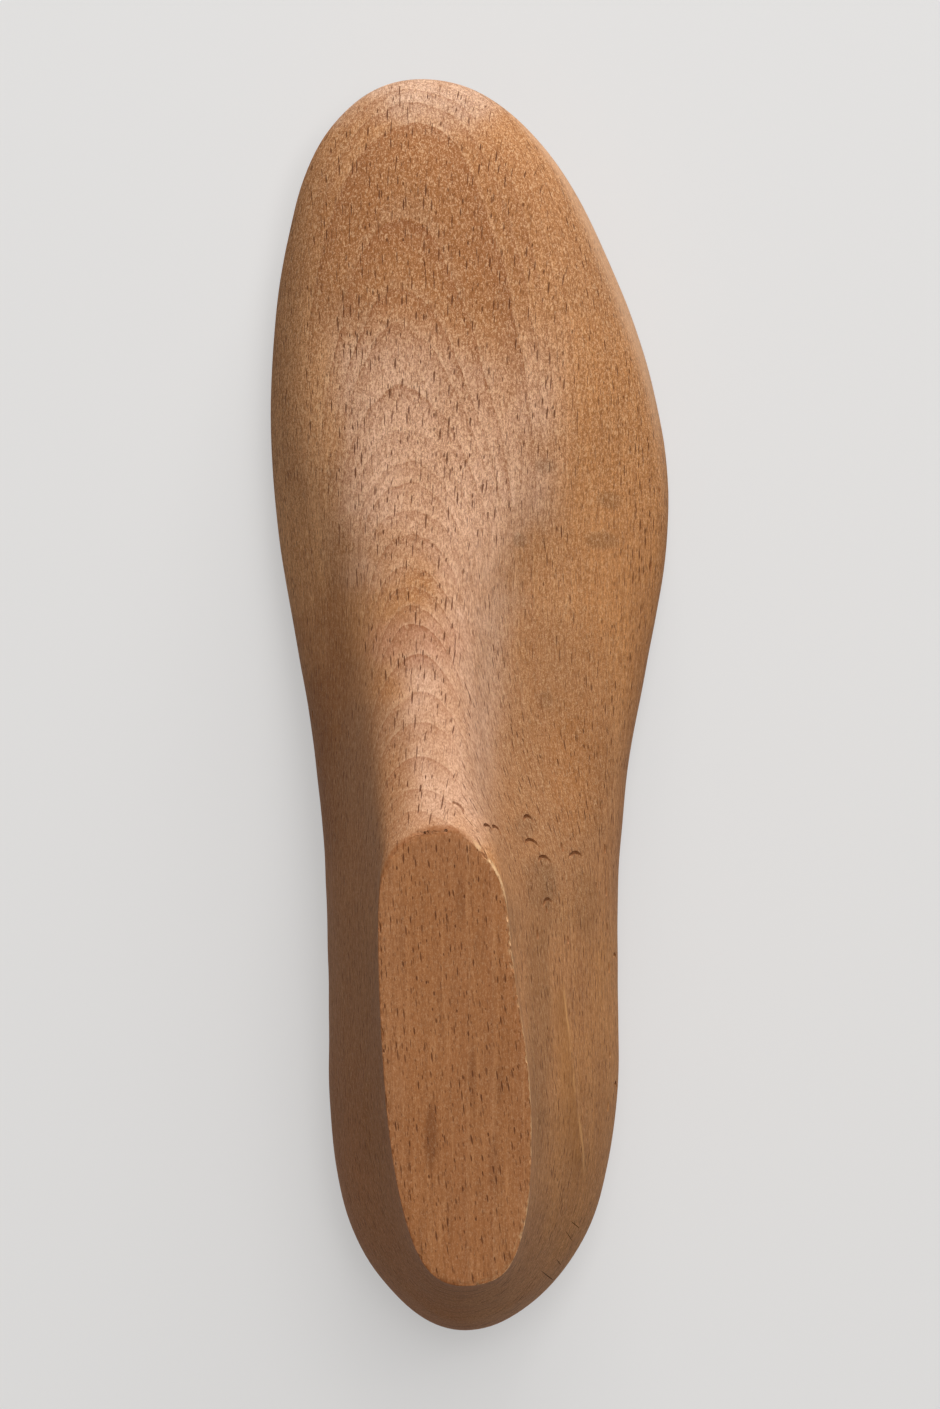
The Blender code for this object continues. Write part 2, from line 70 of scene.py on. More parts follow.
def copy_of_node(node, name):
    """A copy of a CAD node's mesh, merged and open in edit mode with all of it selected."""
    copy = bpy.data.objects.new(name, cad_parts[node].data.copy())
    bpy.context.scene.collection.objects.link(copy)
    only(copy)
    bpy.ops.object.mode_set(mode="EDIT")
    bpy.ops.mesh.select_all(action="SELECT")
    bpy.ops.mesh.remove_doubles(threshold=SAME_POINT)
    bpy.ops.mesh.customdata_custom_splitnormals_clear()
    return copy


def pick(obj, kind, wanted):
    """Selects in edit mode the faces or the points that pass the test."""
    bpy.ops.object.mode_set(mode="EDIT")
    bpy.ops.mesh.select_mode(type=kind)
    bpy.ops.mesh.select_all(action="DESELECT")
    bpy.ops.object.mode_set(mode="OBJECT")
    for part in obj.data.polygons if kind == "FACE" else obj.data.vertices:
        part.select = bool(wanted(part))
    bpy.ops.object.mode_set(mode="EDIT")


def pick_sharp(obj, wanted):
    """Selects in edit mode the sharp edges whose middle passes the test, and gives back their points."""
    bpy.ops.object.mode_set(mode="EDIT")
    bpy.ops.mesh.select_mode(type="EDGE")
    bpy.ops.mesh.select_all(action="DESELECT")
    bpy.ops.mesh.edges_select_sharp(sharpness=SHARP_EDGE)
    bpy.ops.object.mode_set(mode="OBJECT")
    points = obj.data.vertices
    for edge in obj.data.edges:
        first, second = (points[index].co for index in edge.vertices)
        edge.select = edge.select and bool(wanted((first + second) / 2))
    picked = {index for edge in obj.data.edges if edge.select for index in edge.vertices}
    bpy.ops.object.mode_set(mode="EDIT")
    return [points[index].co.copy() for index in picked]


def ease(rounding, segments):
    """Rounds the selected edges over."""
    bpy.ops.mesh.bevel(offset=rounding, segments=segments, affect="EDGES", clamp_overlap=True)


def tree_of(points):
    """A tree that finds the nearest of these points, and how far off it is."""
    tree = KDTree(len(points))
    for index, point in enumerate(points):
        tree.insert(point, index)
    tree.balance()
    return tree


def apply_modifier(obj, kind, **settings):
    modifier = obj.modifiers.new(kind.lower(), kind)
    for name, value in settings.items():
        setattr(modifier, name, value)
    only(obj)
    bpy.ops.object.modifier_apply(modifier=modifier.name)


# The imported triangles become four-sided faces again, and the sawn face gets an even grid inside a narrow band
block = copy_of_node("last_body", "beech_body")
bpy.ops.mesh.tris_convert_to_quads(face_threshold=FLAT_QUAD, shape_threshold=EVEN_QUAD)
pick(block, "FACE", lambda face: face.normal.z > FACING_UP and face.center.z > SAWN_FACE)
bpy.ops.mesh.dissolve_faces()
bpy.ops.mesh.inset(thickness=SAWN_BAND, use_even_offset=True)
bpy.ops.object.mode_set(mode="OBJECT")
inside_band = max(block.data.polygons, key=lambda face: len(face.vertices)).index
pick(block, "FACE", lambda face: face.index == inside_band)
bpy.ops.mesh.delete(type="ONLY_FACE")
bpy.ops.mesh.select_mode(type="EDGE")
bpy.ops.mesh.select_all(action="DESELECT")
bpy.ops.mesh.select_non_manifold()
bpy.ops.mesh.fill_grid(span=SAWN_GRID_SPAN)
bpy.ops.mesh.select_all(action="SELECT")
bpy.ops.mesh.normals_make_consistent(inside=False)
bpy.ops.object.mode_set(mode="OBJECT")

# Crisp edges stay crisp while the rest is smoothed, and the feather edge fades out step by step under the toe
for limit in FEATHER_FADE:
    pick_sharp(block, lambda middle: middle.y < limit)
    bpy.ops.transform.edge_crease(value=1.0 / len(FEATHER_FADE))
    bpy.ops.object.mode_set(mode="OBJECT")
apply_modifier(block, "SUBSURF", levels=1, render_levels=1)

# The rim of the sawn face, the feather edge round the sole and the routed seat are each eased by hand
seat = tree_of([Vector((point.co.x, point.co.y, 0.0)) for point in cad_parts["heel_plate"].data.vertices])


def near_seat(point):
    return seat.find(Vector((point.x, point.y, 0.0)))[2] < SEAT_REACH


rim = tree_of(pick_sharp(block, lambda middle: middle.z > SAWN_EDGE))
ease(RIM_ROUNDING, 3)
feather_points = pick_sharp(block, lambda middle: (
    middle.z < SAWN_HEIGHT / 2 and middle.y < FEATHER_END and not near_seat(middle)))
feather = tree_of(feather_points)
ease(FEATHER_ROUNDING, 3)
pick_sharp(block, lambda middle: middle.z < SAWN_HEIGHT / 2 and near_seat(middle))
ease(ROUTED_ROUNDING, 1)
bpy.ops.object.mode_set(mode="OBJECT")

# The rim is made fine enough to be ragged, and the rest is worked over, always a little below the lathe's cut
RIM_BAND = 0.0012
RAGGED_REACH = 0.0011
RAGGED_SIZE = 0.0012
RAGGED_DEPTH = 0.0005
WORKED_SIZE = 0.020
WORKED_DEPTH = 0.0006
FLAT_MARGIN = 0.004
FLAT_HEIGHT = SAWN_HEIGHT - 0.0005
SEAT_FRONT = -0.05
FACING_DOWN = -0.5
pick(block, "FACE", lambda face: (
    face.center.z > SAWN_HEIGHT - RIM_BAND and rim.find(face.center)[2] < RIM_BAND))
bpy.ops.mesh.subdivide(number_cuts=2, smoothness=0.0)
bpy.ops.object.mode_set(mode="OBJECT")
ragged = block.vertex_groups.new(name="ragged_rim")
worked = block.vertex_groups.new(name="hand_worked")
for point in block.data.vertices:
    from_rim = rim.find(point.co)[2]
    ragged.add([point.index], max(0.0, 1.0 - from_rim / RAGGED_REACH), "REPLACE")
    seated = point.normal.z < FACING_DOWN and point.co.y < SEAT_FRONT
    flat = point.co.z > FLAT_HEIGHT or near_seat(point.co) or seated
    worked.add([point.index], 0.0 if flat else min(1.0, from_rim / FLAT_MARGIN), "REPLACE")


def weather(group, size, depth):
    """Sinks the surface unevenly where the vertex group says."""
    pattern = bpy.data.textures.new(group, "CLOUDS")
    pattern.noise_scale = size
    pattern.noise_depth = 1
    apply_modifier(block, "DISPLACE", texture=pattern, texture_coords="LOCAL", strength=depth, mid_level=1.0,
                   vertex_group=group)


weather("hand_worked", WORKED_SIZE, WORKED_DEPTH)
weather("ragged_rim", RAGGED_SIZE, RAGGED_DEPTH)

# The left side of the crest and the back of the cone, each given by a box's two corners, were sanded softer than
# the rest, and the feather edge is rubbed down where it ends at the toe
SANDED_BOXES = [((-0.030, -0.045, 0.030), (-0.004, 0.035, 0.0765)),
                ((-0.050, -0.150, 0.045), (0.050, -0.100, 0.0765))]
SANDED_STROKES = 16
FEATHER_STROKES = 3
FEATHER_END_SPAN = 0.006
FEATHER_END_REACH = 0.003


def sand(wanted, strokes):
    pick(block, "VERT", wanted)
    bpy.ops.mesh.vertices_smooth(factor=0.5, repeat=strokes)
    bpy.ops.object.mode_set(mode="OBJECT")


for low, high in SANDED_BOXES:
    sand(lambda point: all(least < part < most for least, part, most in zip(low, point.co, high)), SANDED_STROKES)
sand(lambda point: (abs(point.co.y - FEATHER_END) < FEATHER_END_SPAN
                    and feather.find(point.co)[2] < FEATHER_END_REACH), FEATHER_STROKES)

# The rasp left one long facet, with a low ridge above it, along the outer side of the cone
RIDGE = [(0.0208, -0.0625, 0.0534), (0.0219, -0.0756, 0.0531), (0.0228, -0.0834, 0.0518), (0.0237, -0.0912, 0.0494),
         (0.0249, -0.1014, 0.0444)]
RIDGE_PARTS = 12
RIDGE_REACH = 0.0007
RIDGE_RISE = (0.00028, 0.0, 0.00012)
RIDGE_FALLOFF = 0.007
ridge = tree_of([Vector(first).lerp(Vector(second), part / RIDGE_PARTS)
                 for first, second in zip(RIDGE, RIDGE[1:]) for part in range(RIDGE_PARTS)])
pick(block, "VERT", lambda point: ridge.find(point.co)[2] < RIDGE_REACH)
bpy.ops.transform.translate(value=RIDGE_RISE, use_proportional_edit=True, proportional_edit_falloff="SHARP",
                            proportional_size=RIDGE_FALLOFF)
bpy.ops.object.mode_set(mode="OBJECT")

# Work has left its marks: bites of pliers and hammer, drying checks, small dents, and chips in the rim. A bite has
# its place, radius and turn, a check its two ends, and a chip its place on the rim and half its length.
BITES = [((0.0045, -0.0283, 0.0730), 0.0028, 0.4), ((0.0068, -0.0276, 0.0690), 0.0020, 0.6),
         ((0.0150, -0.0322, 0.0575), 0.0036, 0.2), ((0.0168, -0.0362, 0.0545), 0.0034, 0.1),
         ((0.0238, -0.0362, 0.0428), 0.0040, -0.2), ((-0.0034, -0.0229, 0.0769), 0.0024, 0.9),
         ((0.0131, -0.0258, 0.0540), 0.0018, 0.1), ((0.0160, -0.0448, 0.0560), 0.0024, -0.4),
         ((0.0328, -0.0575, 0.0245), 0.0020, 1.2), ((0.0325, -0.0862, 0.0250), 0.0020, 1.3)]
BITE_THICKNESS = 0.00042
BITE_TILT = 0.35
BITE_DEPTH = 0.00012
CHECKS = [((0.0213, -0.1159, 0.0438), (0.0230, -0.1191, 0.0353)),
          ((0.0228, -0.1140, 0.0430), (0.0244, -0.1160, 0.0350)),
          ((0.0158, -0.1245, 0.0465), (0.0189, -0.1284, 0.0273)),
          ((0.0192, -0.1225, 0.0400), (0.0203, -0.1243, 0.0340)),
          ((-0.0013, -0.0234, 0.0765), (0.0013, -0.0267, 0.0769)),
          ((0.0279, -0.0389, 0.0363), (0.0288, -0.0429, 0.0351))]
CHECK_HALF_WIDTH = 0.00009
CHECK_DEPTH = 0.0007
DENTS = [(0.0316, -0.0415, 0.0310), (0.0316, -0.0492, 0.0310), (0.0318, -0.0584, 0.0300), (0.0312, -0.0776, 0.0310),
         (0.0308, -0.0892, 0.0310), (0.0302, -0.0320, 0.0304), (0.0283, -0.0400, 0.0356), (-0.0353, -0.0024, 0.0288),
         (-0.0340, -0.0131, 0.0304), (0.0150, -0.0499, 0.0627), (0.0217, -0.0515, 0.0501), (0.0170, -0.0445, 0.0577),
         (0.0204, -0.0312, 0.0463), (0.0413, 0.0310, 0.0200), (0.0420, 0.0480, 0.0170), (-0.0420, 0.0610, 0.0180)]
DENT_HALF_WIDTH = 0.00056
DENT_HALF_LENGTH = 0.00120
DENT_DEPTH = 0.00042
DENT_VARIES = (0.7, 1.3)
CHIPS = [(0.0071, -0.0452, 0.0019), (0.0080, -0.0510, 0.0013), (0.0089, -0.0560, 0.0024), (0.0099, -0.0640, 0.0016),
         (0.0112, -0.0760, 0.0011), (-0.0187, -0.0480, 0.0014), (-0.0190, -0.0700, 0.0019), (-0.0120, -0.1200, 0.0012),
         (0.0020, -0.1290, 0.0013), (-0.0050, -0.0290, 0.0016), (0.0020, -0.0330, 0.0012), (0.0122, -0.0980, 0.0015)]
CHIP_HALF_WIDTH = 0.00040
CHIP_DEPTH = 0.00034
CHIP_STEP = 0.002
LEAST_STEP = 0.0005
ALONG_GRAIN = (0.0, 1.0, 0.0)
ALONG_FLANK = (0.1, 1.0, 0.1)
chance = random.Random(7)
cutters = []


def lean(normal, length_way):
    """Turns a cutter so that its Z is the surface's normal and its Y runs as near as it can along the given way."""
    along = (Vector(length_way) - normal * normal.dot(Vector(length_way))).normalized()
    side = along.cross(normal)
    return Matrix((side, along, normal)).transposed().to_euler()


def scoop(place, length_way, half_sizes):
    """A long rounded hollow."""
    near, normal = block.closest_point_on_mesh(Vector(place))[1:3]
    bpy.ops.mesh.primitive_uv_sphere_add(segments=12, ring_count=8, radius=1.0, location=near,
                                         rotation=lean(normal, length_way), scale=half_sizes)
    cutters.append(bpy.context.object)


def bite(place, radius, turn):
    """A crescent, as the edge of a round tool leaves."""
    near, normal = block.closest_point_on_mesh(Vector(place))[1:3]
    way = (-math.sin(turn), -math.cos(turn), 0.0)
    pose = Matrix(lean(normal, way).to_matrix()) @ Matrix.Rotation(BITE_TILT, 3, "X")
    lift = radius * math.sin(BITE_TILT) - BITE_DEPTH
    bpy.ops.mesh.primitive_torus_add(major_radius=radius, minor_radius=BITE_THICKNESS, major_segments=28,
                                     minor_segments=8, location=near + normal * lift, rotation=pose.to_euler())
    cutters.append(bpy.context.object)


def cut_away(obj, solver):
    """Takes everything that the cutters fill out of the piece."""
    bpy.ops.object.select_all(action="DESELECT")
    for cutter in cutters:
        cutter.select_set(True)
    bpy.context.view_layer.objects.active = cutters[0]
    bpy.ops.object.join()
    joined = bpy.context.object
    apply_modifier(obj, "BOOLEAN", operation="DIFFERENCE", solver=solver, object=joined)
    bpy.data.objects.remove(joined)
    cutters.clear()


for place, radius, turn in BITES:
    bite(place, radius, turn)
for first, second in CHECKS:
    way = Vector(second) - Vector(first)
    scoop((Vector(first) + Vector(second)) / 2, way, (CHECK_HALF_WIDTH, way.length / 2, CHECK_DEPTH))
for place in DENTS:
    size = chance.uniform(*DENT_VARIES)
    scoop(place, ALONG_FLANK, (DENT_HALF_WIDTH * size, DENT_HALF_LENGTH * size, DENT_DEPTH))
for across, along, half_length in CHIPS:
    edge = rim.find(Vector((across, along, SAWN_HEIGHT)))[0]
    beside = rim.find(edge + Vector((0.0, -CHIP_STEP, 0.0)))[0] - edge
    way = beside if beside.length > LEAST_STEP else ALONG_GRAIN
    scoop(edge, way, (CHIP_HALF_WIDTH, half_length, CHIP_DEPTH))

# Tacks once held the insole all round, a little inside the feather edge, and down the middle. Going round the
# edge, a hole comes after each uneven step, except where the plate lies.
TACK_RADIUS = 0.0006
TACK_DEPTH = 0.0028
TACK_PROUD = 0.0006
TACK_TILT = 0.15
TACK_INSET = 0.0075
TACK_SCATTER = 0.0012
TACK_STEP = 0.0105
LONGEST_STEP = 0.01
STEP_VARIES = (0.75, 1.35)
RADIUS_VARIES = (0.8, 1.15)
POINT_SHARE = 0.4
MIDDLE_TACKS = [(0.002, 0.095), (0.004, 0.012), (-0.001, -0.062)]
MIDLINE_ACROSS = 0.001
MIDLINE_BACK = -0.105
MIDLINE_FRONT = 0.11
PLATE_FRONT = -0.072
PLATE_HALF_WIDTH = 0.027
BELOW_SOLE = -0.1
UPWARD = Vector((0.0, 0.0, 1.0))
loop = sorted(feather_points, key=lambda point: math.atan2(point.x, point.y))
travelled = 0.0
holes = list(MIDDLE_TACKS)
for first, second in zip(loop, loop[1:]):
    travelled += min((second - first).length, LONGEST_STEP)
    if travelled > TACK_STEP * chance.uniform(*STEP_VARIES):
        travelled = 0.0
        midline = Vector((MIDLINE_ACROSS, max(MIDLINE_BACK, min(MIDLINE_FRONT, second.y)), 0.0))
        inset = TACK_INSET + chance.uniform(-TACK_SCATTER, TACK_SCATTER)
        spot = second + (midline - second).normalized() * inset
        if not (spot.y < PLATE_FRONT and abs(spot.x) < PLATE_HALF_WIDTH):
            holes.append((spot.x, spot.y))
for across, along in holes:
    near, normal = block.ray_cast(Vector((across, along, BELOW_SOLE)), UPWARD)[1:3]
    bpy.ops.mesh.primitive_cone_add(
        vertices=10, radius1=TACK_RADIUS * chance.uniform(*RADIUS_VARIES), radius2=TACK_RADIUS * POINT_SHARE,
        depth=TACK_DEPTH, location=near - normal * (TACK_DEPTH / 2 - TACK_PROUD),
        rotation=(chance.uniform(-TACK_TILT, TACK_TILT), chance.uniform(-TACK_TILT, TACK_TILT), 0.0))
    cutters.append(bpy.context.object)
uncut = BVHTree.FromObject(block, bpy.context.evaluated_depsgraph_get())
cut_away(block, "MANIFOLD")

# Splinters that came loose are dropped
only(block)
bpy.ops.object.mode_set(mode="EDIT")
bpy.ops.mesh.select_all(action="SELECT")
bpy.ops.mesh.separate(type="LOOSE")
bpy.ops.object.mode_set(mode="OBJECT")
pieces = sorted(bpy.context.selected_objects, key=lambda piece: len(piece.data.vertices))
block = pieces.pop()
for splinter in pieces:
    bpy.data.objects.remove(splinter)
block.name = "beech_body"

# The sole and the seat end where the lathe's cut ended, at the height of the table
only(block)
pick(block, "VERT", lambda point: point.co.z < 0.0)
bpy.ops.transform.resize(value=(1.0, 1.0, 0.0), center_override=(0.0, 0.0, 0.0))
bpy.ops.object.mode_set(mode="OBJECT")

# The finish needs to know how deep a point lies in a mark, and how near it is to the feather edge and the seat
DEEP_IN_MARK = 0.0002
BY_FEATHER = 0.006
BY_SEAT = 0.005
BODY_CREASE = math.radians(35)


def remember(name, values):
    """Stores a value for each point, for the finish to read."""
    block.data.attributes.new(name, "FLOAT", "POINT").data.foreach_set("value", values)


points = [point.co for point in block.data.vertices]
remember("in_mark", [min(uncut.find_nearest(point)[3] / DEEP_IN_MARK, 1.0) for point in points])
remember("by_feather", [max(0.0, 1.0 - feather.find(point)[2] / BY_FEATHER) for point in points])
remember("by_seat", [max(0.0, 1.0 - seat.find(point)[2] / BY_SEAT) for point in points])

# Steamed beech is pale tan, turning orange-brown where hands and leather have rubbed it. Its rings end in thin
# reddish lines and its rays are short dark flecks. The pith lay above the cone, so the rings arch over the instep.
# Each ring is given by its radius from the pith, where it ends, and by how dark it gets there.
PITH_ACROSS = -0.021
PITH_HEIGHT = 0.120
RING_START = 0.036
RING_STOP = 0.136
RINGS = [(0.0400, 0.4), (0.0449, 0.4), (0.0475, 0.4), (0.0514, 0.5), (0.0554, 0.35), (0.0583, 0.4), (0.0616, 0.85),
         (0.0639, 1.0), (0.0651, 0.45), (0.0665, 0.5), (0.0678, 0.35), (0.0697, 0.6), (0.0712, 0.5), (0.0727, 0.5),
         (0.0737, 0.4), (0.0752, 0.25), (0.0773, 0.5), (0.0793, 0.4), (0.0805, 0.7), (0.0828, 0.8), (0.0882, 1.0),
         (0.0905, 0.5), (0.0926, 0.6), (0.0951, 0.4), (0.0970, 0.7), (0.0994, 0.5), (0.1013, 0.4), (0.1031, 0.7),
         (0.1054, 0.5), (0.1080, 0.6), (0.1101, 0.4), (0.1127, 0.6), (0.1150, 0.5), (0.1178, 0.7), (0.1206, 0.5),
         (0.1240, 0.6), (0.1275, 0.5), (0.1310, 0.6), (0.1340, 0.5)]


def colour(red, green, blue):
    """A display colour, 0 to 255, as the shader wants it."""
    parts = [part / 255 for part in (red, green, blue)]
    return tuple(part / 12.92 if part <= 0.04045 else ((part + 0.055) / 1.055) ** 2.4 for part in parts) + (1.0,)


class Finish:
    """A procedural finish built up node by node, with a tone that stains and painted light are laid over."""

    def __init__(self, name):
        self.material = bpy.data.materials.new(name)
        self.material.use_nodes = True
        self.tree = self.material.node_tree
        self.shader = self.tree.nodes["Principled BSDF"]
        self.place = self.add("ShaderNodeTexCoord").outputs["Object"]
        self.tone = None

    def feed(self, socket, value):
        if isinstance(value, bpy.types.NodeSocket):
            self.tree.links.new(value, socket)
        else:
            socket.default_value = value

    def add(self, kind, inputs=None, **settings):
        node = self.tree.nodes.new(kind)
        for name, value in settings.items():
            setattr(node, name, value)
        for name, value in (inputs or {}).items():
            self.feed(node.inputs[name], value)
        return node

    def math(self, operation, *values):
        return self.add("ShaderNodeMath", dict(enumerate(values)), operation=operation).outputs[0]

    def times(self, *values):
        product = values[0]
        for value in values[1:]:
            product = self.math("MULTIPLY", product, value)
        return product

    def sum(self, *values):
        total = values[0]
        for value in values[1:]:
            total = self.math("ADD", total, value)
        return total

    def length(self, first, second):
        return self.math("SQRT", self.sum(self.times(first, first), self.times(second, second)))

    def vector(self, operation, first, second):
        return self.add("ShaderNodeVectorMath", {0: first, 1: second}, operation=operation).outputs[0]

    def join(self, x, y, z):
        return self.add("ShaderNodeCombineXYZ", {0: x, 1: y, 2: z}).outputs[0]

    def split(self, vector):
        return self.add("ShaderNodeSeparateXYZ", {0: vector}).outputs

    def noise(self, vector, scale, detail=2.0, roughness=0.5, distortion=0.0):
        inputs = {"Vector": vector, "Scale": scale, "Detail": detail, "Roughness": roughness,
                  "Distortion": distortion}
        return self.add("ShaderNodeTexNoise", inputs).outputs["Fac"]

    def stretched(self, stretch, scale, *settings):
        """Noise whose grains are longer one way than another."""
        return self.noise(self.vector("MULTIPLY", self.place, stretch), scale, *settings)

    def rise(self, value, start, end, low=0.0, high=1.0):
        """A smooth rise from low at start to high at end."""
        inputs = {"Value": value, "From Min": start, "From Max": end, "To Min": low, "To Max": high}
        return self.add("ShaderNodeMapRange", inputs, interpolation_type="SMOOTHSTEP").outputs["Result"]

    def curve(self, value, points):
        """A broken line through points whose two parts both run from 0 to 1."""
        node = self.add("ShaderNodeFloatCurve", {"Value": value})
        line = node.mapping.curves[0]
        for place, height in points[1:-1]:
            line.points.new(place, height)
        for point, location in zip(line.points, points):
            point.location = location
            point.handle_type = "VECTOR"
        node.mapping.update()
        return node.outputs[0]

    def blend(self, share, first, second):
        """The first colour where the share is 0, and the second where it is 1."""
        return self.add("ShaderNodeMix", {0: share, 6: first, 7: second}, data_type="RGBA").outputs[2]

    def lay_colour(self, share, tint):
        """Lays a colour over the tone so far, for stains and for painted highlights and shade."""
        self.tone = self.blend(share, self.tone, tint)

    def bump(self, height, distance):
        return self.add("ShaderNodeBump", {"Height": height, "Distance": distance}).outputs[0]


def dress(piece, finish, crease):
    """Shades a piece smooth between its crisp edges, and gives it its finish and no other."""
    only(piece)
    bpy.ops.object.shade_smooth_by_angle(angle=crease)
    piece.data.materials.clear()
    piece.data.materials.append(finish.material)


beech = Finish("beech")
across, along, up = beech.split(beech.place)

# The grain wavers a little across the block, and less along it
WAVER = (0.0022, 0.0, 0.0022)
WAVER_STRETCH = (1.0, 0.35, 1.0)
WAVER_SCALE = 60.0
slow = beech.add("ShaderNodeTexNoise", {"Vector": beech.vector("MULTIPLY", beech.place, WAVER_STRETCH),
                                        "Scale": WAVER_SCALE, "Detail": 3.0, "Roughness": 0.55}).outputs["Color"]
waver = beech.vector("MULTIPLY", beech.vector("SUBTRACT", slow, (0.5, 0.5, 0.5)), WAVER)
grown_across, _, grown_up = beech.split(beech.vector("ADD", beech.place, waver))
from_pith = beech.math("SUBTRACT", grown_across, PITH_ACROSS)
below_pith = beech.math("SUBTRACT", PITH_HEIGHT, grown_up)
radius = beech.length(from_pith, below_pith)
angle = beech.math("ARCTAN2", from_pith, below_pith)

# Growth rings, each slowly darker outwards to a thin line, where the next one starts pale
bands = len(RINGS) + 1
ring_reach = RING_STOP - RING_START
spread = beech.math("DIVIDE", beech.math("SUBTRACT", radius, RING_START), ring_reach)
ends = [(end - RING_START) / ring_reach for end, _ in RINGS]
steps = [(index + 1) / bands for index in range(len(RINGS))]
ring_place = beech.times(beech.curve(spread, [(0.0, 0.0), *zip(ends, steps), (1.0, 1.0)]), float(bands))
ring_number = beech.math("FLOOR", ring_place)
ring_part = beech.math("SUBTRACT", ring_place, ring_number)
depths = [((index + 0.5) / bands, depth) for index, (_, depth) in enumerate(RINGS)]
ring_own = beech.curve(beech.math("DIVIDE", beech.sum(ring_number, 0.5), float(bands)),
                       [(0.0, 0.5), *depths, (1.0, 0.5)])
ring_end = beech.rise(ring_part, 1.0, 0.97)
late_wood = beech.times(beech.rise(ring_part, 0.25, 0.95), ring_end)
late_line = beech.times(beech.rise(ring_part, 0.84, 0.95), ring_end)
ring_own = beech.math("MINIMUM", beech.sum(beech.times(ring_own, 1.2), 0.15), 1.0)
ring_shade = beech.times(beech.sum(beech.times(late_wood, 0.6), beech.times(late_line, 0.4)), ring_own)
early_line = beech.times(beech.rise(ring_part, 0.20, 0.0), ring_own)
ring_sight = beech.rise(beech.noise(beech.place, 45.0, 2.0), 0.35, 0.65, 0.65, 1.0)

# Rays are thin sheets that run out from the pith, cut as dark flecks, or along their faces as broad flakes. The
# spacings are the room that one fleck has across and along the grain, and the depth at which others take over.
BROAD_SPACING = (0.0015, 0.0030, 0.012)
FINE_SPACING = (0.0010, 0.0017, 0.009)
FINE_SHARE = 0.6
BROAD_HALF_WIDTH = 0.00016
BROAD_HALF_LENGTH = 0.0018
SAWN_HALF_WIDTH = 0.00014
SAWN_HALF_LENGTH = 0.0013
FINE_HALF_WIDTH = 0.00011
FINE_HALF_LENGTH = 0.0008
SPLIT_HALF_WIDTH = 0.00014
SPLIT_HALF_LENGTH = 0.0016
SPLIT_FINE_HALF_WIDTH = 0.00010
LEAST_CUT = 0.35
RAY_LAYER = 0.012
LAYER_SHIFT = 17.31
ASKEW_BEHIND = 0.05
ASKEW = -0.35
facing = beech.split(beech.add("ShaderNodeTexCoord").outputs["Normal"])
outward = beech.math("SUBTRACT", beech.times(facing[0], from_pith), beech.times(facing[2], below_pith))
cut = beech.math("ABSOLUTE", beech.math("DIVIDE", outward, radius))
behind = beech.math("MAXIMUM", beech.math("SUBTRACT", ASKEW_BEHIND, along), 0.0)
askew = beech.times(behind, behind, ASKEW)
layer_number = beech.math("FLOOR", beech.math("DIVIDE", radius, RAY_LAYER))
layer_radius = beech.times(beech.sum(layer_number, 0.5), RAY_LAYER)
bent_angle = beech.sum(beech.times(angle, layer_radius), askew)


def flecks(first, second, depth, spacing, half_side, half_tall, shift):
    """Spindle shapes scattered over two coordinates, with another scatter for each layer of depth."""
    side, tall, layer = spacing
    slab = beech.times(beech.math("FLOOR", beech.math("DIVIDE", depth, layer)), LAYER_SHIFT)
    cell = beech.join(beech.sum(beech.math("DIVIDE", first, side), slab, shift),
                      beech.sum(beech.math("DIVIDE", second, tall), slab), 0.0)
    node = beech.add("ShaderNodeTexVoronoi", {"Vector": cell, "Scale": 1.0, "Randomness": 1.0},
                     voronoi_dimensions="2D")
    own = beech.split(node.outputs["Color"])
    off = beech.split(beech.vector("SUBTRACT", cell, node.outputs["Position"]))
    wide = beech.math("DIVIDE", beech.math("ABSOLUTE", beech.times(off[0], side)),
                      beech.times(half_side, beech.rise(own[0], 0.0, 1.0, 0.7, 1.3)))
    long = beech.math("DIVIDE", beech.times(off[1], tall),
                      beech.times(half_tall, beech.rise(own[1], 0.0, 1.0, 0.3, 1.0)))
    shape = beech.sum(wide, beech.times(long, long))
    return beech.times(beech.rise(shape, 1.25, 0.65), beech.rise(own[2], 0.25, 0.85))


sawn = beech.times(beech.rise(up, 0.0790, 0.0799), beech.rise(facing[2], 0.85, 0.97))
across_rays = beech.rise(cut, 0.30, 0.60)
thinned = beech.math("MAXIMUM", cut, LEAST_CUT)
broad_half_width = beech.times(thinned, beech.rise(sawn, 0.0, 1.0, BROAD_HALF_WIDTH, SAWN_HALF_WIDTH))
broad_half_length = beech.rise(sawn, 0.0, 1.0, BROAD_HALF_LENGTH, SAWN_HALF_LENGTH)
fine_half_width = beech.times(thinned, FINE_HALF_WIDTH)
cut_broad = flecks(bent_angle, along, radius, BROAD_SPACING, broad_half_width, broad_half_length, 0.0)
cut_fine = flecks(bent_angle, along, radius, FINE_SPACING, fine_half_width, FINE_HALF_LENGTH, 5.7)
cut_rays = beech.math("MAXIMUM", cut_broad, beech.times(cut_fine, FINE_SHARE))
split_broad = flecks(radius, along, bent_angle, BROAD_SPACING, SPLIT_HALF_WIDTH, SPLIT_HALF_LENGTH, 2.3)
split_fine = flecks(radius, along, bent_angle, FINE_SPACING, SPLIT_FINE_HALF_WIDTH, FINE_HALF_LENGTH, 8.9)
split_rays = beech.math("MAXIMUM", split_broad, beech.times(split_fine, FINE_SHARE))
ray_fleck = beech.math("MAXIMUM", beech.times(cut_rays, across_rays),
                       beech.times(split_rays, beech.math("SUBTRACT", 1.0, across_rays)))

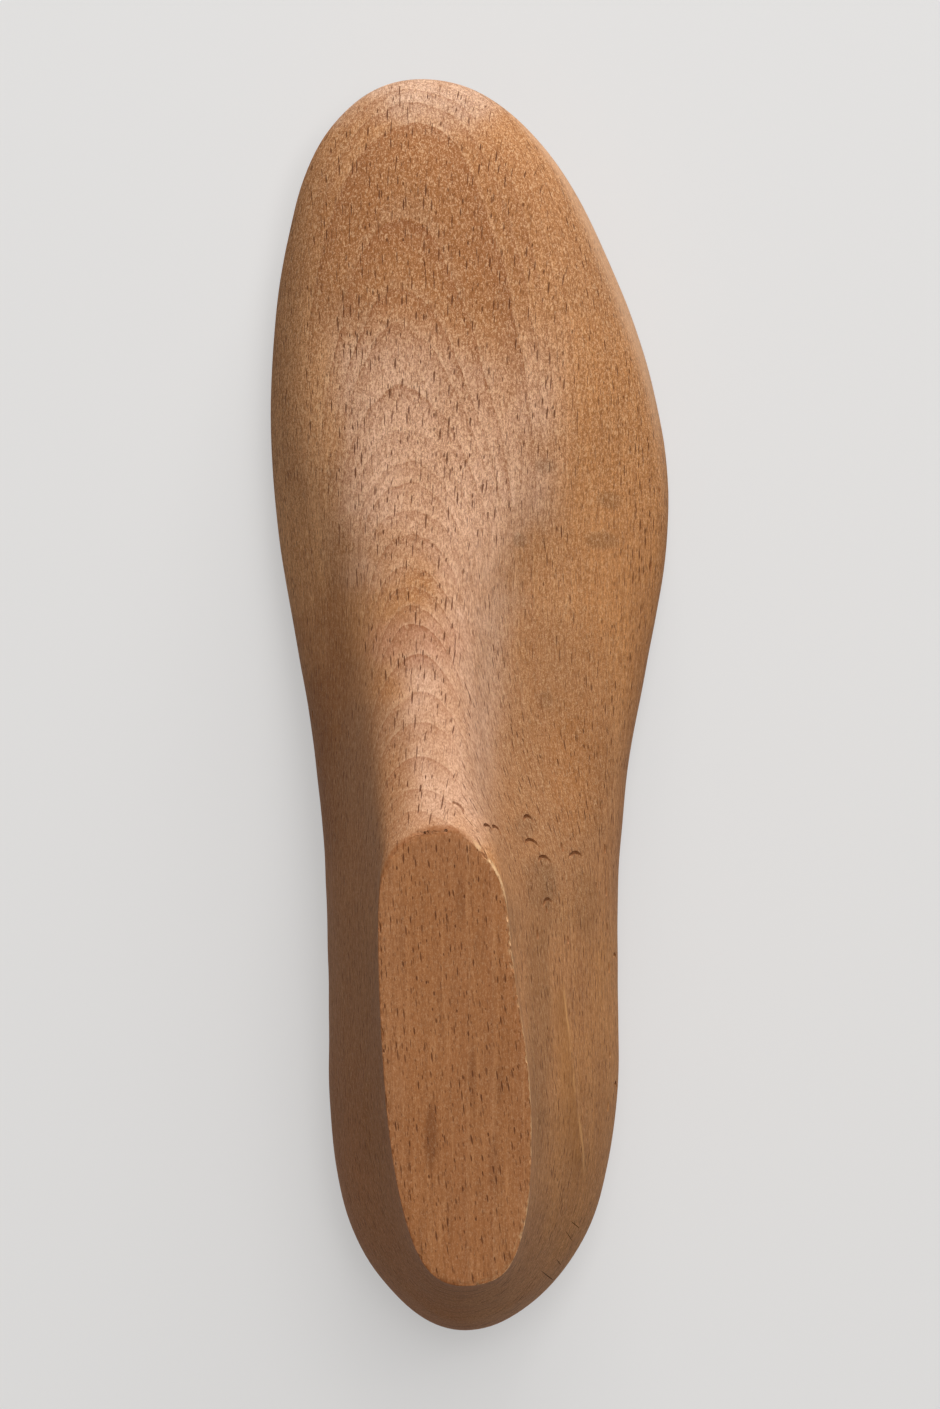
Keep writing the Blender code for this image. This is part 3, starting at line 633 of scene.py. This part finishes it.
# Fibres along the grain, the short fuzz that the rasp raised on the forepart, and the slower changes of tone
fibre = beech.stretched((3400.0, 620.0, 3400.0), 1.0, 2.0)
vessel = beech.stretched((1500.0, 60.0, 1500.0), 1.0, 2.0)
fuzz = beech.stretched((1.0, 0.6, 1.0), 2600.0, 1.0, 0.5, 1.2)
streak = beech.stretched((90.0, 10.0, 90.0), 1.0, 3.0)
cloud = beech.noise(beech.place, 38.0, 3.0, 0.6)
blotch = beech.stretched((1.0, 0.6, 1.0), 110.0, 3.0, 0.6)
rasped = beech.rise(beech.sum(along, beech.times(cloud, 0.05)), 0.020, 0.100)
top_side = beech.rise(facing[2], -0.35, 0.15)


def patch(centre, half_size, ragged=0.8):
    """One inside a ragged oval seen from above, and nothing outside it."""
    side = beech.math("DIVIDE", beech.math("SUBTRACT", across, centre[0]), half_size[0])
    end = beech.math("DIVIDE", beech.math("SUBTRACT", along, centre[1]), half_size[1])
    edge = beech.sum(beech.length(side, end), beech.times(beech.math("SUBTRACT", cloud, 0.5), ragged * 2))
    return beech.times(beech.rise(edge, 1.25, 0.55), top_side)


# The colours of the wood, of its figure, of what tools, hands and dirt have made of it, and of painted light
BARE_PALE = colour(216, 156, 106)
BARE_DARK = colour(206, 146, 96)
SAWN_PALE = colour(184, 120, 72)
SAWN_DARK = colour(166, 106, 62)
STREAK_BROWN = colour(186, 128, 82)
BLOTCH_BROWN = colour(176, 122, 80)
EARLY_WOOD = colour(240, 200, 162)
LATE_WOOD = colour(152, 92, 62)
TOE_RING = colour(162, 100, 56)
VESSEL_BROWN = colour(146, 94, 56)
FIBRE_DARK = colour(150, 96, 58)
FIBRE_PALE = colour(240, 196, 150)
SAW_DARK = colour(140, 88, 52)
SAW_PALE = colour(212, 152, 102)
SAW_GRIME = colour(122, 72, 40)
FUZZ_DARK = colour(140, 90, 52)
FUZZ_PALE = colour(244, 202, 158)
WISP_PALE = colour(222, 182, 138)
WISP_DARK = colour(128, 84, 52)
RAY_BROWN = colour(92, 50, 30)
RUST_STAIN = colour(70, 54, 44)
SPLINTER_HIGHLIGHT = colour(242, 200, 150)
INNER_RIM_SHADE = colour(150, 88, 44)
RASP_SHADE = colour(168, 112, 60)
RIDGE_RUBBED_HIGHLIGHT = colour(238, 178, 116)
RUBBED_EDGE = colour(232, 190, 150)
FADED_TOE_AND_SHEEN = colour(236, 192, 156)
MARK_DARKENING = colour(128, 76, 42)

# Paler and darker places seen from above: centre and half size across and along, colour, and how strongly it
# lies there. The pale ones on the instep, on its crest and at the toe tip are partly paler bare wood and partly
# painted highlight, and the pale one at the left of the ball is painted highlight. The rest are rubbed, faded and
# soiled places.
PATINA_AND_HIGHLIGHTS = [((-0.009, 0.056), (0.032, 0.034), (240, 194, 164), 0.90),
          ((-0.004, 0.000), (0.014, 0.034), (238, 192, 162), 0.90),
          ((-0.007, 0.105), (0.026, 0.026), (186, 124, 75), 0.88),
          ((-0.007, 0.150), (0.044, 0.022), (236, 200, 176), 0.90),
          ((0.034, 0.045), (0.015, 0.048), (226, 156, 94), 0.80),
          ((0.017, -0.014), (0.013, 0.034), (176, 124, 82), 0.80),
          ((-0.034, -0.004), (0.010, 0.034), (146, 92, 52), 0.85),
          ((-0.021, -0.015), (0.009, 0.024), (176, 130, 96), 0.80),
          ((-0.026, -0.115), (0.030, 0.045), (188, 118, 68), 0.75),
          ((0.030, -0.095), (0.014, 0.050), (222, 156, 94), 0.70),
          ((-0.038, 0.052), (0.009, 0.040), (240, 178, 124), 0.90),
          ((-0.032, -0.060), (0.015, 0.045), (168, 110, 66), 0.65),
          ((-0.0125, 0.0140), (0.0110, 0.0060), (206, 146, 118), 0.50),
          ((0.0166, 0.0528), (0.0026, 0.0018), (112, 92, 76), 0.45),
          ((0.0110, 0.0361), (0.0018, 0.0020), (112, 92, 76), 0.45),
          ((0.0289, 0.0364), (0.0040, 0.0020), (112, 88, 64), 0.45),
          ((0.0311, 0.0454), (0.0026, 0.0020), (112, 88, 64), 0.40),
          ((0.0165, 0.0009), (0.0020, 0.0022), (112, 84, 60), 0.40),
          ((0.0152, -0.0383), (0.0034, 0.0060), (112, 86, 62), 0.60),
          ((0.0118, -0.0270), (0.0030, 0.0030), (104, 84, 66), 0.50),
          ((0.0258, -0.0440), (0.0030, 0.0080), (150, 104, 62), 0.45),
          ((0.0240, -0.0120), (0.0070, 0.0160), (196, 128, 70), 0.50),
          ((0.0150, -0.0700), (0.0030, 0.0300), (150, 112, 72), 0.55)]
SAWN_STREAKS = [((-0.0084, -0.0931), (0.0014, 0.0080), 0.60), ((0.0006, -0.0805), (0.0009, 0.0070), 0.35),
                ((0.0062, -0.0811), (0.0009, 0.0055), 0.35), ((0.0052, -0.0980), (0.0012, 0.0080), 0.30),
                ((-0.0020, -0.0420), (0.0010, 0.0060), 0.30)]

# Tone, from the bare wood through its stains, some painted highlights and its figure to the flecks. Each line lays
# one colour over the last, and the number that ends its share is how strongly it covers.
beech.tone = beech.blend(beech.rise(cloud, 0.30, 0.70), BARE_PALE, BARE_DARK)
for centre, half_size, tint, share in PATINA_AND_HIGHLIGHTS:
    beech.lay_colour(beech.times(patch(centre, half_size), share), colour(*tint))
beech.lay_colour(beech.times(sawn, 0.9), beech.blend(cloud, SAWN_PALE, SAWN_DARK))
beech.lay_colour(beech.rise(streak, 0.35, 0.75, 0.0, 0.50), STREAK_BROWN)
beech.lay_colour(beech.rise(blotch, 0.50, 0.80, 0.0, 0.38), BLOTCH_BROWN)
ring_cut = beech.times(ring_sight, beech.rise(cut, 0.45, 0.95, 0.42, 1.0), beech.rise(sawn, 0.0, 1.0, 1.0, 0.35))
beech.lay_colour(beech.times(early_line, ring_cut, 0.30), EARLY_WOOD)
beech.lay_colour(beech.times(ring_shade, ring_cut, 0.80), LATE_WOOD)
toe_ring = beech.times(beech.rise(radius, 0.0882, 0.0880), beech.rise(radius, 0.0790, 0.0840),
                       beech.rise(along, 0.070, 0.090), top_side)
beech.lay_colour(beech.times(toe_ring, beech.rise(cloud, 0.30, 0.60, 0.5, 1.0), 0.45), TOE_RING)
beech.lay_colour(beech.rise(vessel, 0.35, 0.75, 0.0, 0.32), VESSEL_BROWN)
beech.lay_colour(beech.rise(fibre, 0.38, 0.68, 0.0, 0.46), FIBRE_DARK)
pale_fibre = beech.rise(fibre, 0.46, 0.26, 0.0, 0.30)
beech.lay_colour(beech.times(pale_fibre, beech.rise(sawn, 0.0, 1.0, 1.0, 0.4)), FIBRE_PALE)
saw_streak = beech.stretched((800.0, 50.0, 1.0), 1.0, 3.0, 0.6)
beech.lay_colour(beech.times(beech.rise(saw_streak, 0.52, 0.72), sawn, 0.40), SAW_DARK)
beech.lay_colour(beech.times(beech.rise(saw_streak, 0.46, 0.28), sawn, 0.35), SAW_PALE)
for centre, half_size, share in SAWN_STREAKS:
    beech.lay_colour(beech.times(patch(centre, half_size, 0.4), sawn, share), SAW_GRIME)
fuzzy = beech.rise(rasped, 0.0, 1.0, 0.35, 1.15)
beech.lay_colour(beech.times(beech.rise(fuzz, 0.46, 0.66), fuzzy, 0.45), FUZZ_DARK)
beech.lay_colour(beech.times(beech.rise(fuzz, 0.50, 0.32), fuzzy, 0.40), FUZZ_PALE)
worn_side = patch((0.018, 0.000), (0.016, 0.046))
wisp = beech.stretched((1.0, 0.75, 1.0), 1500.0, 1.0, 0.5, 2.2)
beech.lay_colour(beech.times(beech.rise(wisp, 0.54, 0.68), worn_side, 0.42), WISP_PALE)
beech.lay_colour(beech.times(beech.rise(wisp, 0.46, 0.32), worn_side, 0.34), WISP_DARK)
beech.lay_colour(beech.times(ray_fleck, 0.85), RAY_BROWN)

# On its outer side the rim is pale, partly bare splinters and partly painted highlight, and on its inner side it is
# darkened with painted shade. The rasp's ridge is pale, partly rubbed and partly painted highlight, with a darker
# band on its inner side, and the feather edge is rubbed pale. The outer side of the toe is pale, partly faded and
# partly painted sheen. The seat is rusty, the marks are darker deeper in, and the ridge runs askew.
RIDGE_END_ALONG = -0.1356
RIDGE_LEAN = -0.105
RIDGE_WAVER = 0.0022
by_seat = beech.add("ShaderNodeAttribute", attribute_name="by_seat").outputs["Fac"]
rust = beech.times(beech.rise(by_seat, 0.2, 1.0), beech.rise(blotch, 0.25, 0.60, 0.35, 1.0), 0.7)
beech.lay_colour(rust, RUST_STAIN)
in_mark = beech.add("ShaderNodeAttribute", attribute_name="in_mark").outputs["Fac"]
by_feather = beech.add("ShaderNodeAttribute", attribute_name="by_feather").outputs["Fac"]
rim_near = beech.times(beech.rise(up, 0.0788, 0.0794), beech.rise(facing[2], 0.995, 0.93))
# The outer rim gets a pale painted highlight, broken up like splinters and partly bare splinters, and the inner rim
# painted shade
splinter = beech.rise(beech.stretched((1.0, 0.25, 1.0), 900.0, 2.0), 0.40, 0.60)
outer_side = beech.rise(across, -0.004, 0.004)
beech.lay_colour(beech.times(rim_near, splinter, outer_side, 0.75), SPLINTER_HIGHLIGHT)
beech.lay_colour(beech.times(rim_near, beech.math("SUBTRACT", 1.0, outer_side), 0.55), INNER_RIM_SHADE)
from_ridge = beech.math("SUBTRACT", across, beech.times(beech.sum(along, RIDGE_END_ALONG), RIDGE_LEAN))
ridge_here = beech.times(beech.rise(along, -0.058, -0.066), beech.rise(along, -0.108, -0.099),
                         beech.rise(up, 0.026, 0.034))
ridge_bend = beech.sum(from_ridge, beech.times(beech.math("SUBTRACT", cloud, 0.5), RIDGE_WAVER))
ridge_highlight = beech.times(beech.rise(beech.math("ABSOLUTE", ridge_bend), 0.0004, 0.0), ridge_here)
ridge_shade = beech.times(beech.rise(from_ridge, -0.0048, -0.0010), beech.rise(from_ridge, 0.0002, -0.0004),
                          ridge_here)
beech.lay_colour(beech.times(ridge_shade, 0.40), RASP_SHADE)
# A pale line along the ridge, partly rubbed wood and partly painted highlight
beech.lay_colour(beech.times(ridge_highlight, beech.rise(blotch, 0.34, 0.52), 0.62), RIDGE_RUBBED_HIGHLIGHT)
rubbed = beech.times(beech.rise(by_feather, 0.55, 0.95), beech.rise(blotch, 0.42, 0.62))
beech.lay_colour(beech.times(rubbed, 0.45), RUBBED_EDGE)
# The outer side of the toe is paler, partly faded wood and partly a painted sheen of light
toe_side_sheen = beech.times(beech.rise(facing[2], 0.62, 0.36), beech.rise(along, 0.035, 0.075),
                       beech.rise(across, 0.0, 0.02), beech.rise(up, 0.003, 0.010),
                       beech.rise(cloud, 0.25, 0.60, 0.5, 1.0))
beech.lay_colour(beech.times(toe_side_sheen, 0.55), FADED_TOE_AND_SHEEN)
# Points deep in a mark are darker
beech.lay_colour(beech.times(beech.rise(in_mark, 0.15, 0.9), beech.rise(up, 0.0790, 0.0780), 0.60), MARK_DARKENING)
beech.feed(beech.shader.inputs["Base Color"], beech.tone)

# Sanded beech has hardly any gloss, and the rasped forepart has less
SANDED_ROUGHNESS = 0.60
RASPED_ROUGHNESS = 0.70
BEECH_SPECULAR = 0.06
GRAIN_RELIEF = 0.00010
beech.feed(beech.shader.inputs["Roughness"], beech.rise(rasped, 0.0, 1.0, SANDED_ROUGHNESS, RASPED_ROUGHNESS))
beech.shader.inputs["Specular IOR Level"].default_value = BEECH_SPECULAR
grain_height = beech.math("SUBTRACT", beech.times(fibre, 0.5), beech.times(ray_fleck, 0.6))
grain_height = beech.sum(grain_height, beech.times(fuzz, rasped, 0.8))
beech.feed(beech.shader.inputs["Normal"], beech.bump(grain_height, GRAIN_RELIEF))
dress(block, beech, BODY_CREASE)

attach(block, "root")
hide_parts("last_body")

# Heel plate
# A steel plate, cut from sheet and filed to the outline of the heel, is let in flush with the seat. Tacks driven
# through a shoe are clenched against it, so its face is dented, scratched and rusted round the nails.
PLATE_ROUNDING = 0.00025
PLATE_CREASE = math.radians(10)
HOLES = [(-0.0010, -0.1248), (0.01914, -0.0870), (-0.01705, -0.0870), (0.01571, -0.1070), (-0.01505, -0.1070)]
HOLE_ROUNDING = 0.0001
HOLE_REACH = 0.005
OUTER_FACE = 0.0001
PLATE_DENTS = 26
DENT_GAP = 0.0036
DENT_FROM_HOLE = 0.0055
DENT_ACROSS = (-0.023, 0.025)
DENT_ALONG = (-0.130, -0.081)
DENT_RADIUS = (0.0006, 0.0016)
DENT_DEPTHS = (0.00007, 0.00016)
DENT_ROUNDNESS = (0.6, 1.0)
SCRATCHED_STEEL = colour(160, 156, 150)
BRIGHT_STEEL = colour(122, 119, 114)
DULL_STEEL = colour(98, 95, 91)
FRESH_RUST = colour(96, 52, 30)
OLD_RUST = colour(58, 38, 28)


def by_hole(point, reach):
    return any(math.hypot(point.x - across, point.y - along) < reach for across, along in HOLES)


plate = copy_of_node("heel_plate", "steel_heel_plate")
pick_sharp(plate, lambda middle: middle.z < OUTER_FACE and not by_hole(middle, HOLE_REACH))
ease(PLATE_ROUNDING, 3)
pick_sharp(plate, lambda middle: middle.z < OUTER_FACE and by_hole(middle, HOLE_REACH))
ease(HOLE_ROUNDING, 2)
bpy.ops.object.mode_set(mode="OBJECT")
outer_face = BVHTree.FromObject(plate, bpy.context.evaluated_depsgraph_get())
struck = []
while len(struck) < PLATE_DENTS:
    spot = Vector((chance.uniform(*DENT_ACROSS), chance.uniform(*DENT_ALONG), 0.0))
    near = outer_face.ray_cast(Vector((spot.x, spot.y, BELOW_SOLE)), UPWARD)[0]
    apart = all((spot - other).length > DENT_GAP for other in struck)
    if not (near and near.z < SAME_POINT and apart) or by_hole(spot, DENT_FROM_HOLE):
        continue
    struck.append(spot)
    radius = chance.uniform(*DENT_RADIUS)
    bpy.ops.mesh.primitive_uv_sphere_add(
        segments=14, ring_count=8, radius=1.0, location=spot, rotation=(0.0, 0.0, chance.uniform(0.0, math.pi)),
        scale=(radius, radius * chance.uniform(*DENT_ROUNDNESS), chance.uniform(*DENT_DEPTHS)))
    cutters.append(bpy.context.object)
cut_away(plate, "EXACT")

# The steel shows the lines of rolling and of rubs askew to them, and it rusts in its dents and round the nails
RUB_SLANT = 0.55
RUST_NEAR = 0.0030
RUST_FAR = 0.0065
STEEL_RELIEF = 0.00004
steel = Finish("worn_steel")
plate_across, plate_along, plate_up = steel.split(steel.place)
rolled = steel.stretched((1700.0, 40.0, 1700.0), 1.0, 3.0)
turned = steel.join(steel.sum(plate_across, steel.times(plate_along, RUB_SLANT)),
                    steel.math("SUBTRACT", plate_along, steel.times(plate_across, RUB_SLANT)), plate_up)
rubs = steel.noise(steel.vector("MULTIPLY", turned, (2600.0, 55.0, 2600.0)), 1.0, 3.0)
rust_cloud = steel.noise(steel.place, 260.0, 4.0, 0.65)
by_nail = 0.0
for across_hole, along_hole in HOLES:
    off_across = steel.math("SUBTRACT", plate_across, across_hole)
    off_along = steel.math("SUBTRACT", plate_along, along_hole)
    by_nail = steel.math("MAXIMUM", by_nail, steel.rise(steel.length(off_across, off_along), RUST_FAR, RUST_NEAR))
sunk = steel.rise(plate_up, 0.00001, 0.00008)
rusted = steel.rise(steel.sum(rust_cloud, steel.times(by_nail, 0.16), steel.times(sunk, 0.14)), 0.56, 0.70)
steel.tone = steel.blend(steel.rise(rolled, 0.35, 0.70), BRIGHT_STEEL, DULL_STEEL)
steel.lay_colour(steel.times(steel.rise(rubs, 0.60, 0.74), 0.45), SCRATCHED_STEEL)
steel.lay_colour(rusted, steel.blend(steel.noise(steel.place, 900.0, 2.0), FRESH_RUST, OLD_RUST))
steel.feed(steel.shader.inputs["Base Color"], steel.tone)
steel.feed(steel.shader.inputs["Metallic"], steel.rise(rusted, 0.2, 0.8, 1.0, 0.1))
steel.feed(steel.shader.inputs["Roughness"],
           steel.rise(steel.sum(rolled, steel.times(rusted, 0.8)), 0.3, 1.2, 0.42, 0.85))
plate_height = steel.sum(steel.times(rolled, 0.3), steel.times(rubs, 0.4), steel.times(rusted, 0.8))
steel.feed(steel.shader.inputs["Normal"], steel.bump(plate_height, STEEL_RELIEF))
dress(plate, steel, PLATE_CREASE)

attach(plate, "root")
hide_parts("heel_plate")

# Heel plate nails
# Five iron nails with flat, countersunk heads hold the plate. Each was driven flush with a hammer, which left a
# small flat dent and a slot of rust round the head. The shank tapers to its point in the wood.
HEAD_ROUNDING = 0.00018
HEAD_FACE = 0.0004
NAIL_FLAT = math.radians(1.0)
NAIL_CREASE = math.radians(30)
BLOW_SIZE = (0.0016, 0.0011, 0.00022)
BLOW_HEIGHT = 0.0001
BLOW_MISS = 0.0009
BRIGHT_IRON = colour(104, 99, 94)
DULL_IRON = colour(78, 74, 70)
NAIL_RUST = colour(110, 60, 34)
NAIL_OLD_RUST = colour(52, 34, 26)
IRON_RELIEF = 0.00003
iron = Finish("driven_iron")
iron_cloud = iron.noise(iron.place, 700.0, 4.0, 0.6)
iron_scratch = iron.stretched((400.0, 3200.0, 400.0), 1.0, 3.0)
iron_up = iron.split(iron.place)[2]
iron_rust = iron.math("MAXIMUM", iron.rise(iron_cloud, 0.50, 0.66), iron.rise(iron_up, 0.0002, 0.0006))
iron.tone = iron.blend(iron.rise(iron_scratch, 0.40, 0.70), BRIGHT_IRON, DULL_IRON)
iron.lay_colour(iron_rust, iron.blend(iron_cloud, NAIL_RUST, NAIL_OLD_RUST))
iron.feed(iron.shader.inputs["Base Color"], iron.tone)
iron.feed(iron.shader.inputs["Metallic"], iron.rise(iron_rust, 0.2, 0.8, 1.0, 0.1))
iron.feed(iron.shader.inputs["Roughness"], iron.rise(iron_rust, 0.0, 1.0, 0.42, 0.85))
iron.feed(iron.shader.inputs["Normal"], iron.bump(iron.sum(iron_scratch, iron_rust), IRON_RELIEF))
for number in range(1, len(HOLES) + 1):
    name = f"heel_plate_nail_{number}"
    nail = copy_of_node(name, f"iron_nail_{number}")
    bpy.ops.mesh.dissolve_limited(angle_limit=NAIL_FLAT)
    bpy.ops.object.mode_set(mode="OBJECT")
    pick_sharp(nail, lambda middle: middle.z < HEAD_FACE)
    ease(HEAD_ROUNDING, 2)
    bpy.ops.object.mode_set(mode="OBJECT")
    middle = sum((point.co for point in nail.data.vertices), Vector()) / len(nail.data.vertices)
    bpy.ops.mesh.primitive_uv_sphere_add(
        segments=20, ring_count=12, radius=1.0, scale=BLOW_SIZE, rotation=(0.0, 0.0, chance.uniform(0.0, math.pi)),
        location=(middle.x + chance.uniform(-BLOW_MISS, BLOW_MISS), middle.y + chance.uniform(-BLOW_MISS, BLOW_MISS),
                  BLOW_HEIGHT))
    blow = bpy.context.object
    apply_modifier(nail, "BOOLEAN", operation="DIFFERENCE", solver="MANIFOLD", object=blow)
    bpy.data.objects.remove(blow)
    dress(nail, iron, NAIL_CREASE)
    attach(nail, "root")
    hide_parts(name)

# Floor, camera and lamps
# A pale, plain studio table under soft daylight. The camera hangs straight above the last, toe at the top.
FLOOR_SIDE = 24.0
PAPER_SEEN = (0.36, 0.355, 0.35, 1.0)
PAPER_UNSEEN = (0.35, 0.34, 0.33, 1.0)
PAPER_LIGHT = (1.0, 0.99, 0.98, 1.0)
PAPER_GLOW = 0.44
PAPER_ROUGHNESS = 0.9
bpy.ops.mesh.primitive_plane_add(size=FLOOR_SIDE, location=(0, 0, 0))
floor = bpy.context.object
floor.name = "studio_floor"
paper = Finish("pale_paper")
ray = paper.add("ShaderNodeLightPath").outputs
seen = paper.math("MAXIMUM", ray["Is Camera Ray"],
                  paper.math("MAXIMUM", ray["Is Glossy Ray"], ray["Is Transmission Ray"]))
paper.feed(paper.shader.inputs["Base Color"], paper.blend(seen, PAPER_UNSEEN, PAPER_SEEN))
paper.feed(paper.shader.inputs["Emission Strength"], paper.times(seen, PAPER_GLOW))
paper.shader.inputs["Emission Color"].default_value = PAPER_LIGHT
paper.shader.inputs["Roughness"].default_value = PAPER_ROUGHNESS
floor.data.materials.append(paper.material)

# The camera is far enough off for an even view, and its lens gives the last its length in the picture
CAMERA_HEIGHT = 1.5
SENSOR = 36.0
FOCAL_PIXELS = 6618.8
PICTURE_PIXELS = 1409
camera_data = bpy.data.cameras.new("camera")
camera_data.sensor_width = SENSOR
camera_data.sensor_fit = "AUTO"
camera_data.lens = FOCAL_PIXELS * SENSOR / PICTURE_PIXELS
camera = bpy.data.objects.new("camera", camera_data)
camera.location = (0.0, 0.0, CAMERA_HEIGHT)
bpy.context.scene.collection.objects.link(camera)
bpy.context.scene.camera = camera

# Daylight comes through a window beyond the toe and down from a pale ceiling: place, size and power of each lamp
LAMPS = [("window", (0.26, 1.47, 0.36), 0.9, 21.3), ("ceiling", (0.28, 0.49, 2.15), 1.0, 25.0)]
LAMP_AIM = Vector((0.0, 0.0, 0.03))
for name, place, size, power in LAMPS:
    lamp = bpy.data.lights.new(name, "AREA")
    lamp.shape = "SQUARE"
    lamp.size = size
    lamp.energy = power
    holder = bpy.data.objects.new(name, lamp)
    holder.location = place
    holder.rotation_euler = (LAMP_AIM - Vector(place)).to_track_quat("-Z", "Y").to_euler()
    bpy.context.scene.collection.objects.link(holder)

# The room lights the last weakly, but looks pale to the camera and in the steel
ROOM_LIGHT = 0.11
ROOM_SEEN = 0.62
ROOM_COLOUR = (1.0, 0.99, 0.975, 1.0)
world = bpy.data.worlds.new("studio")
world.use_nodes = True
light_path = world.node_tree.nodes.new("ShaderNodeLightPath")
looked_at = world.node_tree.nodes.new("ShaderNodeMath")
looked_at.operation = "MAXIMUM"
world.node_tree.links.new(light_path.outputs["Is Camera Ray"], looked_at.inputs[0])
world.node_tree.links.new(light_path.outputs["Is Glossy Ray"], looked_at.inputs[1])
strength = world.node_tree.nodes.new("ShaderNodeMapRange")
strength.inputs["To Min"].default_value = ROOM_LIGHT
strength.inputs["To Max"].default_value = ROOM_SEEN
world.node_tree.links.new(looked_at.outputs[0], strength.inputs["Value"])
background = world.node_tree.nodes["Background"]
background.inputs["Color"].default_value = ROOM_COLOUR
world.node_tree.links.new(strength.outputs["Result"], background.inputs["Strength"])
bpy.context.scene.world = world
bpy.context.scene.view_settings.view_transform = "Standard"
